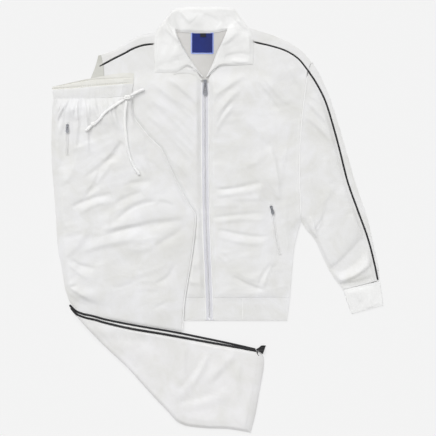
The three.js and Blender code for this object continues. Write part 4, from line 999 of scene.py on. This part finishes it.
def fall_under(w, v):
    full = mix(BACK_TOP + GAP + 1.9 * w, OVER_JACKET, smooth(0, 0.22, v))
    edge = np.minimum(smooth(1, 0.93, v), smooth(1, 0.93, w + smooth(0.22, 0, v)))
    full = mix(full - 0.45, full, edge)
    return mix(BACK_TOP + 0.1, full, smooth(0, 0.06, w + 0.5 * smooth(0, 0.22, v)))


def fall_top(x, y, w, v):
    """The collar's upper face: a soft roll along the neck, rumpled over its width, flat at the sewn edge."""
    roll = mix(0.5, 2.0, smooth(0, 0.25, v)) * smooth(0, 0.08, w) * (1 - smooth(0.12, 0.6, w))
    roll = roll + 0.6 * smooth(1, 0.9, w)
    inside = smooth(0, 0.14, w) * smooth(1, 0.9, w)
    rumple = 1.1 * crumple(x, y, 61, turn=0.9, stretch=1.5) + 0.8 * noise(x, y, 21, 64)
    rumple = rumple + creases(COLLAR, x, y)
    sewn = -0.35 * np.exp(-((w - STITCHED) / 0.018) ** 2) * smooth(1, 0.9, v)
    full = fall_under(w, v) + 1.5 + (roll + settle(rumple + 1.6) * inside) * smooth(1, 0.95, v) + sewn
    edges = edge_curve(np.minimum(np.minimum(w * 50, (1 - w) * 60), (1 - v) * 110), 7.0)
    return mix(fall_under(w, v) + 0.8, full, edges)


def collar():
    """One strip from the right fall's end, round the back of the neck, to the left fall's end."""
    fall, neck, turn = 80, 90, 70
    turn_left, turn_right = along(TURN_LEFT, turn), along(TURN_RIGHT, turn)
    left = fill(turn_left, along(FALL_LEFT_END, turn), along(ROLL_LEFT, fall), along(FALL_LEFT, fall))
    right = fill(turn_right, along(FALL_RIGHT_END, turn), along(ROLL_RIGHT, fall), along(FALL_RIGHT, fall))
    band = fill(turn_right, turn_left, along(BAND_BOTTOM, neck), along(BAND_TOP, neck))
    grid = np.vstack([right[::-1], band[1:-1], left])
    shares = np.linspace(0, 1, fall + 1)
    down = np.concatenate([shares[::-1], np.zeros(neck - 1), shares])
    rows = np.linspace(0, 1, len(down))

    def fall_share(v):
        return np.interp(v, rows, down)

    cloth("jacket_collar_fall", grid, lambda x, y, w, v: fall_under(w, fall_share(v)),
          lambda x, y, w, v: fall_top(x, y, w, fall_share(v)), CLOTH_COLLAR,
          ["jacket_collar_left", "jacket_collar_right", "jacket_collar_back"], held="folded",
          rests_on=["jacket_front_left_panel", "jacket_front_right_panel"])
    upper = along([(-112, 361), (-83, 372), (-61, 365), (-40, 346)], 40)
    lower = along([(-112, 357), (-88, 361), (-64, 357), (-43, 341)], 40)
    cloth("jacket_collar_stand_wedge", crosswise(upper, lower, 8), OVER_JACKET, OVER_JACKET + 1, CLOTH,
          ["jacket_collar_stand_right"], slot="cloth_inner", air=0.7, sheet=False)


collar()

# Neck label and size tab, both bare
LABEL_X, LABEL_Y, LABEL_WIDE, LABEL_HIGH = -41, 435.5, 54, 52
LABEL_THICK = 0.6
TAB_WIDE, TAB_HIGH = 14, 9
TAB_X, TAB_Y = LABEL_X + 2, LABEL_Y + LABEL_HIGH / 2 - TAB_HIGH / 2 - 2.5


def plate_grid(x, y, wide, high, cells):
    left, right = (straight((edge, y + high / 2), (edge, y - high / 2), steps=cells)
                   for edge in (x - wide / 2, x + wide / 2))
    return between(left, right, cells)


def label_rim(drawn_in, steps, last=1):
    """A line round the label, from its upper left corner back to there."""
    half_x, half_y = LABEL_WIDE / 2 - drawn_in, LABEL_HIGH / 2 - drawn_in
    turns = ((-1, 1), (1, 1), (1, -1), (-1, -1), (-1, last))
    return straight(*((LABEL_X + a * half_x, LABEL_Y + b * half_y) for a, b in turns), steps=steps)


def label_face(x, y, *shares):
    """The label's underside: its sides curl up a little."""
    return BACK_TOP + 0.3 + 0.21 * ((x - LABEL_X) / (LABEL_WIDE / 2)) ** 2


def labels():
    cloth("jacket_neck_label_cloth", plate_grid(LABEL_X, LABEL_Y, LABEL_WIDE, LABEL_HIGH, 30), label_face,
          above(label_face, LABEL_THICK), LABEL_BLUE, ["jacket_neck_label"], slot="neck_label",
          rests_on=BACK, air=0)
    cloth("jacket_size_tab_cloth", plate_grid(TAB_X, TAB_Y, TAB_WIDE, TAB_HIGH, 10), BACK_TOP + 1.5,
          BACK_TOP + 2.1, LABEL_BLACK, ["jacket_size_tab"], slot="size_tab", air=0, sheet=False)
    line = label_rim(0.5, 30, last=0.98)
    tube("jacket_neck_label_edge", raised(line, label_face(*line.T) + 0.7), 2.2, 1.0, 8, EDGE_THREAD)
    stitches("jacket_neck_label_stitches", label_rim(2, 20), above(label_face, 0.65), EDGE_THREAD, pitch=2.0,
             long=1.5, radius=0.28)


labels()


# Piping
def twist(gone, angle):
    return 1 + 0.05 * np.sin(gone * 2.6 + angle)


def piping(name, line, z, wide=PIPING_WIDE):
    tube(f"{name}_cord", raised(line, z), wide, PIPING_HIGH, 14, PIPING, [name], ripple=twist)


def jacket_piping():
    z = BACK_TOP + 0.3 + PIPING_HIGH / 2
    left = join([(87, 438.2)], along(SHOULDER, 100)[20:], along(PIPING_LEFT, 240)[:240])
    right = join([(-162, 432.9)], along(SHOULDER_RIGHT, 100)[20:], [(-288.5, 380.8), (-293, 378.5)])
    piping("jacket_piping_left", left, z)
    piping("jacket_piping_right", right, z)


jacket_piping()

# Front zip: tapes and interlocked coil
COIL_PITCH = 1.7
TOOTH_REACH = np.array([-0.55, 0.1, 1.2, 2.15])
TOOTH_LIFT = np.array([0.1, 0.55, 0.55, 0.0])
TOOTH_SIDES = 6


def tapes():
    for name, side in (("left", 1), ("right", -1)):
        inner, outer, welt_highlight = (beside_zip(338, -245, 199, side * away)
                              for away in (0.05, ZIP_HALF + 0.6, ZIP_HALF + 1.0))
        cloth(f"zip_tape_{name}_weave", between(inner, outer, 12), FRONT_TOP - 0.6,
              lambda x, y, u, v: FRONT_TOP + 0.3 + 0.5 * smooth(0.3, 0.42, u), TAPE, [f"zip_tape_{name}"],
              slot="zip_tape", sewn="l", groove=0)
        # Beside each tape, a painted highlight along the placket's raised edge.
        highlight_edging(f"jacket_zip_welt_{name}", welt_highlight, lambda x, y: FRONT_TOP + 0.9, 2.0, 1.0)


def coil():
    angle = np.linspace(0, 2 * np.pi, TOOTH_SIDES, endpoint=False)
    points, faces = [], []
    for number, y in enumerate(np.arange(-237.5, 327.5, COIL_PITCH / 2)):
        side = 1 if number % 2 else -1
        middle = float(zip_x(y))
        for step, up in zip(TOOTH_REACH * side, TOOTH_LIFT):
            points.append(np.column_stack([np.full(TOOTH_SIDES, middle + step),
                                           y + np.cos(angle) * COIL_PITCH * 0.24,
                                           FRONT_TOP + 0.35 + up * 0.7 + np.sin(angle) * 0.34]))
        tooth = np.roll(ring_faces(number * 4 * TOOTH_SIDES, 4, TOOTH_SIDES), -1, axis=1)
        faces.append(tooth[:, ::-1] if side > 0 else tooth)
    piece("zip_coil_teeth", np.vstack(points), np.vstack(faces), COIL, ["zip_coil"])


tapes()
coil()

# Trousers, lying on the jacket and beside it
TROUSER_LEFT = [(-406, 299.6), (-410, 265), (-411, 234), (-411, 148), (-404, 62), (-401, 11), (-394, -77),
                (-385, -121), (-379, -160), (-371, -188), (-363.7, -204.1)]
TROUSER_LEFT_FINE = along(TROUSER_LEFT, 200)
TROUSER_BOTTOM = [(-366, -206.5), (-350, -221.5), (-333, -228.5), (-308, -234), (-279, -242), (-198, -258),
                  (-116, -272), (-91, -277)]
SEAM_LINE = [(-406, 299.6), (-365, 299.1), (-291, 299.6), (-233, 303.6), (-216, 304.6)]
SEAM_HIGH = 7.4  # the waist seam above the trousers' underside


def trouser_base(x, y, *shares):
    return OVER_JACKET * smooth(-399, -364, x) * smooth(-298, -262, y)


def gather_rows():
    """Gathers under the waistband, uneven in length and height."""
    rng = np.random.default_rng(5)
    rows = []
    for number, x in enumerate(np.linspace(-403, -226, 22)):
        share = (x + 403) / 177
        place = x + rng.uniform(-2.5, 2.5)
        long = rng.uniform(26, 60) * (1.7 if number % 4 == 1 else 1) * mix(1.7, 0.8, share)
        lean = mix(-24, 16, min(share * 1.6, 1)) + rng.uniform(-4, 4)
        shape = (rng.uniform(-2, 2), rng.uniform(1.8, 3.4), rng.uniform(2.6, 4.2))
        rows.append((place, 297, place + lean * long / 60, 297 - long, *shape))
    return folds(rows)


GATHERS = gather_rows()


def leg_lift(x, y):
    left = smooth(0, 20, x - line_x(TROUSER_LEFT_FINE, y))
    right = mix(0.3, 1, smooth(0, 55, line_x(EDGE_FINE, y) - x))
    fall_over = mix(8, 62, smooth(-345, -262, x))
    bottom = smooth(-16, fall_over, y + 180 + (x + 374) * 0.32)
    slit = np.minimum(1, smooth(3, 30, np.abs(x + 371)) + smooth(240, 282, y) + smooth(168, 100, y))
    free = settle(4.0 + 1.45 * creases(LEG, x, y) + 1.25 * crumple(x, y, 71, turn=0.35) - 0.2)
    gathers = creases(GATHERS, x, y) * smooth(299, 292, y)
    return left * right * bottom * slit * free + gathers * left * slit * smooth(299.5, 294, y)


def hidden_top(x, y, u, v):
    rounded = smooth(0, 0.08, u) * smooth(0, 0.24, 1 - u) * smooth(0, 0.04, v + 0.02)
    return trouser_base(x, y) + mix(3.4, WAIST_HIDDEN, rounded)


def leg_under(x, y, u, v):
    return hidden_top(x, y, u, v) + GAP + leg_lift(x, y)


def trouser_cloth_top(x, y, u, v):
    """The panel's upper face: it meets the waistband at its height and curves down at the folded edges."""
    base = trouser_base(x, y)
    near = smooth(30, 0, seam_y(SEAM_LINE, x) - y)
    gathers = 0.75 * creases(GATHERS, x, y) * near
    face = mix(leg_under(x, y, u, v) + WALL, base + SEAM_HIGH + gathers, near * smooth(0, 0.03, u))
    face = face - 2.6 * smooth(9, 0, y - seam_y(TROUSER_BOTTOM, x)) * smooth(-300, -230, x)
    beside = np.minimum(x - line_x(TROUSER_LEFT_FINE, y), line_x(EDGE_FINE, y) - x)
    low = 2.0 + 1.8 * smooth(-330, -300, x)
    return mix(base + low, face, mix(edge_curve(np.maximum(beside, 0)), 1, near))


def trouser_cloth_under(x, y, u, v):
    return np.minimum(leg_under(x, y, u, v), trouser_cloth_top(x, y, u, v) - 1.2)


def trouser_grid(cells, rows):
    edge = join(along(RISE, 10 * rows), along(INSEAM, 9 * rows))
    return fill(along(SEAM_LINE, 11 * cells), offset(along(TROUSER_BOTTOM, 11 * cells), -PIPING_HALF),
                along(TROUSER_LEFT, 19 * rows), edge)


def layers(name, grid, top, count, look, seed):
    """Folded layers under a panel, each a sheet with its own slightly uneven edge."""
    for number in range(count):
        wave = 0.2 * noise(grid[..., 0], grid[..., 1], 40, seed + number)

        def face(share, rise):
            return lambda *place: mix(trouser_base(*place), top(*place), share) + rise

        cloth(f"{name}_{number + 1}", inset(grid, 9.0 + 1.2 * (number % 2)) + wave[..., None],
              face(number / count, 0.12 if number else 0), face((number + 1) / count, -0.12), look,
              [f"{name}s"] if number == 0 else (), slot="cloth_inner", held="folded", air=0)


def trousers_upper():
    layers("trousers_hidden_layer", trouser_grid(4, 5), hidden_top, 3, CLOTH, 81)
    cloth("trousers_front_right_panel", trouser_grid(11, 9), trouser_cloth_under, trouser_cloth_top, CLOTH,
          ["trousers_front_right"], rests_on=["trousers_hidden_layer_3"], air=0.4, sewn="t", groove=0.4)


# Waistband: two edges of its back, and its front
WAIST_BACK = [(-410, 328), (-365, 338), (-299, 352), (-234, 362), (-208, 361)]
WAIST_MIDDLE = [(-410, 326), (-365, 334), (-318, 343), (-260, 346), (-209, 348)]
WAIST_FRONT = [(-409, 321), (-353, 324), (-301, 329), (-236, 334), (-210, 336)]
WAIST_HALF = [(-407.5, 310), (-359, 311), (-296, 314), (-235, 318.5), (-213, 320)]


def waist_one(x, y, u):
    return trouser_base(x, y) + 2 + 0.3 * smooth(0, 0.08, np.minimum(u, 1 - u))


def waist_two(x, y, u):
    return waist_one(x, y, u) + GAP + 2


def gathered(u, v, strength):
    wave = np.sin(u * 150 + 3 * np.sin(u * 31)) * 0.5 + 0.5 * np.sin(u * 260 + 2 * np.sin(u * 17))
    return strength * wave * smooth(0, 0.25, v) * smooth(0, 0.03, np.minimum(u, 1 - u))


def trench(x, y, line, deep):
    """A narrow dip in a layer's face just above the edge of the layer in front of it."""
    return deep * np.exp(-((y - seam_y(line, x) - 1.4) / 1.9) ** 2)


def ended(x, y, u, low, face):
    """Lets a layer curve down to its given lowest height at the end beside the zip."""
    return mix(trouser_base(x, y) + low, face, smooth(0, 26, (1 - u) * 195))


def waist_back_top(x, y, u, v):
    return ended(x, y, u, 0.4, waist_one(x, y, u) + gathered(u, v, 0.3) - trench(x, y, WAIST_MIDDLE, 1.5))


def waist_middle_under(x, y, u, v):
    return ended(x, y, u, 0.5, waist_one(x, y, u) + GAP)


def waist_middle_top(x, y, u, v):
    return ended(x, y, u, 0.9, waist_two(x, y, u) + gathered(u, v, 0.5) - trench(x, y, WAIST_FRONT, 1.8))


def waist_front_under(x, y, u, v):
    return ended(x, y, u, 1.0, waist_two(x, y, u) + GAP)


def waist_front_top(x, y, u, v):
    round_over = 2.0 + 0.9 * np.sin(np.pi * np.clip(v, 0, 1)) ** 0.5 * smooth(1, 0.8, v)
    face = waist_two(x, y, u) + GAP + round_over + gathered(u, v, 0.3) + 0.7 * noise(x, y, 26, 47)
    seam = trouser_base(x, y) + SEAM_HIGH + 0.75 * creases(GATHERS, x, np.minimum(y, 298))
    return ended(x, y, u, 1.6, mix(face, seam, smooth(0.8, 1, v)))


def waistband():
    lines = [along(line, 220) for line in (WAIST_BACK, WAIST_MIDDLE, WAIST_FRONT, WAIST_HALF, SEAM_LINE)]
    # The back layers take the warmer, darker cloth: inside face with painted shade under the edges in front.
    for first, name, under, top, look, more in (
            (0, "back_right", trouser_base, waist_back_top, CLOTH_WARM_SHADED, {}),
            (1, "back_left", waist_middle_under, waist_middle_top, CLOTH_WARM_SHADED, {}),
            (2, "front", waist_front_under, waist_front_top, CLOTH, {"sewn": "b", "groove": 0.4})):
        rows = [lines[first]]
        for a, b in zip(lines[first:-1], lines[first + 1:]):
            rows.extend(mix(a, b, t) for t in np.linspace(0, 1, 9)[1:])
        cloth(f"trousers_waistband_{name}_cloth", np.array(rows), under, top, look,
              [f"trousers_waistband_{name}"], air=0.3, **more)


trousers_upper()
waistband()

# Lower legs folded over to the front
UNDER_SEAM = [*TROUSER_BOTTOM[:-1], (-54, -285), (27, -302), (92, -317), (104, -320)]
OVER_SEAM = [(-364, -215), (-350, -230.5), (-329, -239.3), (-304, -245), (-280, -252), (-218, -266.2),
             (-137, -280), (-55, -295.5), (27, -310), (92, -322.3), (105, -325.5)]
FOLD_EDGE = [(-361, -220), (-346, -237), (-307, -281), (-268, -320), (-225, -360), (-190, -399), (-151, -442),
             (-127, -467), (-104, -493)]
LEG_EDGE = [(-104, -493), (-84, -503), (-34, -510), (21, -512), (78, -521)]
HEM_EDGE = [(105, -325.5), (110, -337), (110, -361), (101, -414), (89, -479), (78, -521)]
FOLDED_EDGES = join(along(FOLD_EDGE, 120), along(LEG_EDGE, 80), along(HEM_EDGE, 80)[::-1])
LOW_SHARES = [0, 0.06, 0.2, 0.42, 0.65, 0.85, 0.95, 1]  # closer together at the seam and at the folded edge
LEG_WALL = 1.2
HEM_SHARE = 0.955  # share of the way along the leg at which the hem is sewn


def leg_grid(cells, rows_each):
    """Rows from the under leg's seam to the folded edge; the first rows reach the upper leg's seam."""
    steps = 20 * cells
    under_rail = offset(along(UNDER_SEAM, steps), PIPING_HALF + 0.6)
    over_rail = along(OVER_SEAM, steps)
    low_rail = join(along(FOLD_EDGE, 12 * cells), along(LEG_EDGE, 8 * cells))
    hem = along(HEM_EDGE, 100)
    pull = smooth(0.6, 1, np.arange(steps + 1) / steps)[:, None]
    rows = []
    for share in finer(LOW_SHARES, rows_each):
        row = mix(over_rail, low_rail, share)
        target = np.array([np.interp(share * 100, np.arange(101), hem[:, k]) for k in (0, 1)])
        rows.append(row + (target - row[-1]) * pull)
    strip = [mix(under_rail, rows[0], t) for t in np.linspace(0, 1, rows_each + 1)[:-1]]
    return np.array(strip + rows), len(strip)


LEG_GRID, LEG_STRIP = leg_grid(7, 6)
LEG_START = LEG_STRIP / (len(LEG_GRID) - 1)  # share of the way down at which the leg on top starts


def legs_below(x, y):
    return trouser_base(x, y) + 5.2 * smooth(-62, -128, x)


def low_hidden(x, y, u, v):
    ends = smooth(0, 0.05, np.minimum(u, 1 - u) + 0.01) * smooth(0, 0.2, np.minimum(v, 1 - v) + 0.03)
    return legs_below(x, y) + mix(2.2, LEG_HIDDEN, ends)


def flap_under(x, y, u, v, v_below):
    """The underside of the leg on top. It lies on the leg below it, whose own share down is given too."""
    ends = smooth(0, 0.05, np.minimum(u, 1 - u)) * smooth(0, 0.1, np.minimum(v, 1 - v))
    lift = settle(3.2 + 1.2 * creases(FLAP, x, y) + 1.1 * crumple(x, y, 91, turn=-1.0) - 0.3) * ends
    return low_hidden(x, y, u, v_below) + GAP + LEG_WALL + GAP + lift


def lowered(face, edge):
    """A face that curves down to the given height above what lies below, along the folded edges."""
    return lambda x, y, u, v: mix(legs_below(x, y) + edge, face(x, y, u, v),
                                  edge_curve(distance_to(FOLDED_EDGES, x, y)))


def trousers_lower():
    layers("trousers_lower_hidden_layer", leg_grid(4, 4)[0], low_hidden, 4, CLOTH_TURNED, 95)

    def flap(x, y, u, v):
        return flap_under(x, y, u, v, mix(LEG_START, 1, v))

    cloth("trousers_lower_leg_right_panel", LEG_GRID, lowered(above(low_hidden, GAP), 0.1),
          lowered(above(low_hidden, GAP + LEG_WALL), 0.7), CLOTH_TURNED, ["trousers_lower_leg_right"],
          held="folded", air=0.4)
    cloth("trousers_lower_leg_left_panel", LEG_GRID[LEG_STRIP:], lowered(flap, 0.8),
          lowered(above(flap, WALL), 1.6), CLOTH_TURNED, ["trousers_lower_leg_left"], held="folded",
          rests_on=["trousers_lower_leg_right_panel"], air=0.4)


trousers_lower()

TAIL_UPPER = [(91, -315.4), (98, -311.6), (104, -306.8), (115.4, -306.6)]
TAIL_LOWER = [(91.6, -318.6), (97, -320.6), (102, -323.6), (107.5, -327.8)]


def tail_under(x, y, *shares):
    return 0.8 + 5.6 * smooth(-312, -319.5, y)


def tail_top(x, y, u, v):
    return tail_under(x, y) + 2 + 0.4 * np.cos(4 * np.pi * u) + 0.12 * np.cos(26 * np.pi * u)


def trouser_piping():
    right = along(UNDER_SEAM, 300)[:292]
    left = offset(along(OVER_SEAM, 300), -PIPING_HALF - 0.3)[:292]
    piping("trousers_piping_right", right, legs_below(*right.T) + 2.6, PIPING_WIDE + 1.2)
    piping("trousers_piping_left", left, legs_below(*left.T) + LEG_HIDDEN + 3.6, PIPING_WIDE + 1.2)
    cloth("trousers_piping_tail_fan", between(along(TAIL_UPPER, 48), along(TAIL_LOWER, 48), 32), tail_under,
          tail_top, PIPING, ["trousers_piping_tail"], slot="piping", sheet=False)
    hook = along([(93.6, -319.5), (93.8, -325), (94.6, -329.6), (98, -330.6)], 40)
    tube("trousers_piping_tail_hook", raised(hook, 8.6), 2.6, 1.6, 10, PIPING, ripple=twist)


trouser_piping()


def trouser_top(x, y):
    return trouser_base(x, y) + WAIST_HIDDEN + GAP + leg_lift(x, y) + WALL


# Pocket zips
JACKET_SLIT = [(126.5, 42), (132, 12), (137, -22), (142, -56), (150, -84)]
TROUSER_SLIT = [(-371, 241), (-372, 214), (-371, 160)]


def pocket_zip(name, points, height):
    line = along(points, 60)
    for side, label in ((1, "outer"), (-1, "inner")):
        cloth(f"{name}_{label}_lip", between(offset(line, side * 3.4), offset(line, side * 0.35), 8),
              lambda x, y, u, v: height(x, y) + 0.3,
              lambda x, y, u, v: height(x, y) + 0.9 + 0.7 * np.sin(np.pi * u) ** 0.7, CLOTH,
              [name] if side == 1 else (), slot="zip_tape", air=0, sheet=False)
    for ending, away in (("", 5.2), ("_inner", -5.2)):
        stitches(f"{name}_stitches{ending}", offset(line, away), above(height, 0.1))


pocket_zip("jacket_pocket_zip", JACKET_SLIT, front_top)
pocket_zip("trousers_pocket_zip", TROUSER_SLIT, trouser_top)


# Drawstring
KNOT = (-224, 301, 16.1)
LEFT_KNOT = (-308.5, 237.5)
STRETCHES = {
    "left": [(-231.9, 296.1), (-247, 286), (-260, 277), (-277, 265), (-296, 243), (-309, 234), (-326, 218)],
    "down": [(-225.3, 291.7), (-229, 271), (-230, 236), (-227, 210), (-223, 176), (-215, 147), (-203, 124),
             (-194, 111)],
    "up": [(-215.7, 305.3), (-203, 313), (-183, 321.5)],
}
SMOOTHED = 7  # points on each side over which a cord's height is evened out


def cord_path(points):
    steps, fine_steps = len(points) * 3, len(points) * 14
    x, y = along(points, steps).T
    surface = np.zeros(steps + 1)
    for dx, dy in ((0, 0), (3, 0), (-3, 0), (0, 3), (0, -3)):
        surface = np.maximum(surface, trouser_top(np.minimum(x + dx, -216), y + dy))
    z = mix(surface + CORD_DIAMETER / 2 - 1.1, KNOT[2] - 0.4, smooth(6, 0, np.arange(steps + 1)))
    fine = np.interp(np.linspace(0, 1, fine_steps + 1), np.linspace(0, 1, steps + 1), z)
    window = np.hanning(2 * SMOOTHED + 1)
    return raised(along(points, fine_steps),
                  np.convolve(np.pad(fine, SMOOTHED, "edge"), window / window.sum(), "valid"))


def braid(gone, angle):
    return 1 + 0.035 * np.sin(gone * 2.1 + 2 * angle) + 0.035 * np.sin(gone * 2.1 - 2 * angle)


def knot(name, middle, size, nodes=()):
    angle = np.linspace(0, 4.6 * np.pi, 160)
    radius = (2.6 + 1.3 * np.sin(angle * 0.6)) * size
    path = np.column_stack([middle[0] + radius * 1.7 * np.cos(angle), middle[1] + radius * np.sin(angle),
                            middle[2] - 0.2 + 1.5 * size * np.sin(angle * 1.5 + 0.6)])
    tube(f"{name}_turns", path, CORD_DIAMETER * 0.85, CORD_DIAMETER * 0.75, 14, CORD_KNOT,
         nodes, braid)


def drawstring():
    left = cord_path(STRETCHES["left"])
    nearest = left[np.argmin(np.hypot(left[:, 0] - LEFT_KNOT[0], left[:, 1] - LEFT_KNOT[1]))]
    knot("drawstring_knot", KNOT, 1.0, ["drawstring_knot"])
    knot("drawstring_left_knot", nearest + (0, 0, 0.8), 0.62)
    for name, points in STRETCHES.items():
        path = cord_path(points)
        made = tube(f"drawstring_{name}_cord", path, CORD_DIAMETER * 1.15, CORD_DIAMETER * 0.85, 16, CORD,
                    [f"drawstring_{name}"], braid)


drawstring()


# Stitched seams
def on_front(name, line):
    stitches(f"jacket_{name}", line, above(front_top, 0.05))


def curve_height(line, shares, face):
    """A height along a line that runs down the picture, from a face that takes each place's share."""
    return lambda x, y: face(x, y, np.interp(-y, -line[:, 1], shares))


def jacket_seams():
    for side, label in ((1, "left"), (-1, "right")):
        for gap, row in ((2.0, "edge"), (8.0, "inner")):
            on_front(f"placket_{label}_{row}_stitches", beside_zip(330, -243, 299, side * (ZIP_HALF + gap)))
    for number, drop in enumerate((5.0, 9.0)):
        for side, first, last, steps in (("left", -12, 168, 119), ("right", -84, -34, 39)):
            y = HEM_HIGH + drop
            on_front(f"hem_{side}_stitches_{number + 1}", straight((first, y), (last, y), steps=steps))
    # A painted highlight along the armhole seam.
    highlight_edging("jacket_armhole_left_welt", ARMHOLE_FINE[2:59], above(front_top, 0.15), 2.2, 1.2)


def trouser_edges():
    # Painted highlights: bright ridges along the trousers' folded right edge.
    line = EDGE_FINE[2:-2]
    y = line[:, 1]
    rise, inseam = line[(y < 300) & (y > 12)], line[(y < 16) & (y > -270)]
    highlight_edging("trousers_rise_fold_highlight", rise, above(trouser_base, 1.8), 2.8, 1.8)
    highlight_edging("trousers_inseam_fold_highlight", offset(inseam, -1.0), above(trouser_base, 3.0), 3.0, 3.6)


def collar_seams():
    # Painted highlights along the collar's lower ends and the hem band's end.
    for side, end in (("right", FALL_RIGHT_END), ("left", FALL_LEFT_END)):
        highlight_edging(f"jacket_neck_edge_highlight_{side}", along(end[:3], 40)[3:30], lambda x, y: OVER_JACKET + 1.3, 2.4, 1.6)
    highlight_edging("jacket_hem_end_welt", straight((58, -192), (58, -243), steps=40), above(front_top, 0.4), 1.6, 0.9)
    on_front("armhole_left_stitches", offset(along(ARMHOLE, 120)[:114], 4.0))
    for name, edge, roll in (("left", FALL_LEFT, ROLL_LEFT), ("right", FALL_RIGHT, ROLL_RIGHT)):
        line = mix(along(roll, 90), along(edge, 90), STITCHED)[4:86]
        height = curve_height(line, np.linspace(0, 1, 91)[4:86], lambda x, y, v: fall_top(x, y, STITCHED, v))
        stitches(f"jacket_collar_{name}_stitches", line, height)


def hem_face(x, y, v):
    inner = (v - LEG_START) / (1 - LEG_START)
    return flap_under(x, y, HEM_SHARE, inner, v) + WALL + 0.05


def trouser_seams():
    for number, share in enumerate((0.2, 0.72)):
        line = mix(along(WAIST_FRONT, 150), along(SEAM_LINE, 150), share)[4:-6]
        stitches(f"trousers_waistband_stitches_{number + 1}", line,
                 lambda x, y: waist_two(x, y, 0.5) + GAP + 2.85)
    stitches("trousers_rise_stitches", offset(along(RISE, 120), 6)[6:112], above(trouser_top, -0.4))
    last = len(LEG_GRID) - 1
    for number, reach in enumerate((18.0, 21.0)):
        line = np.array([[np.interp(reach, np.linalg.norm(row - row[-1], axis=1)[::-1], row[::-1, k])
                          for k in (0, 1)] for row in LEG_GRID[LEG_STRIP + 2:-3]])
        shares = np.linspace((LEG_STRIP + 2) / last, (last - 3) / last, len(line))
        stitches(f"trousers_hem_stitches_{number + 1}", line, curve_height(line, shares, hem_face))


jacket_seams()
trouser_edges()
collar_seams()
trouser_seams()

# The metal parts keep their own shapes
for name in ("zip_slider", "zip_pull", "jacket_pocket_slider", "jacket_pocket_pull", "trousers_pocket_slider",
             "trousers_pocket_pull", "zip_bottom_stop"):
    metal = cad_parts[name]
    metal.data.materials.clear()
    metal.data.materials.append(COIL if name == "zip_bottom_stop" else METAL)

# Floor
FLOOR_HALF = 6
FLOOR_Z = -0.0003


def pale_floor(tree, place):
    grain = texture(tree, "Noise", place, Scale=40.0, Detail=3.0)
    return {
        "Base Color": ramp(tree, grain, ((0.290, 0.290, 0.290), (0.294, 0.294, 0.294))),
        "Roughness": 0.9,
        "Specular IOR Level": 0.0,
        "Emission Color": (1, 1, 1, 1),
        "Emission Strength": 0.62,
    }


def floor():
    mesh = bpy.data.meshes.new("floor")
    corners = [(a * FLOOR_HALF, b * FLOOR_HALF, 0) for a, b in ((-1, -1), (1, -1), (1, 1), (-1, 1))]
    mesh.from_pydata(corners, [], [(0, 1, 2, 3)])
    mesh.materials.append(material("pale_floor", pale_floor))
    made = in_scene("floor", mesh)
    made.location.z = FLOOR_Z


floor()
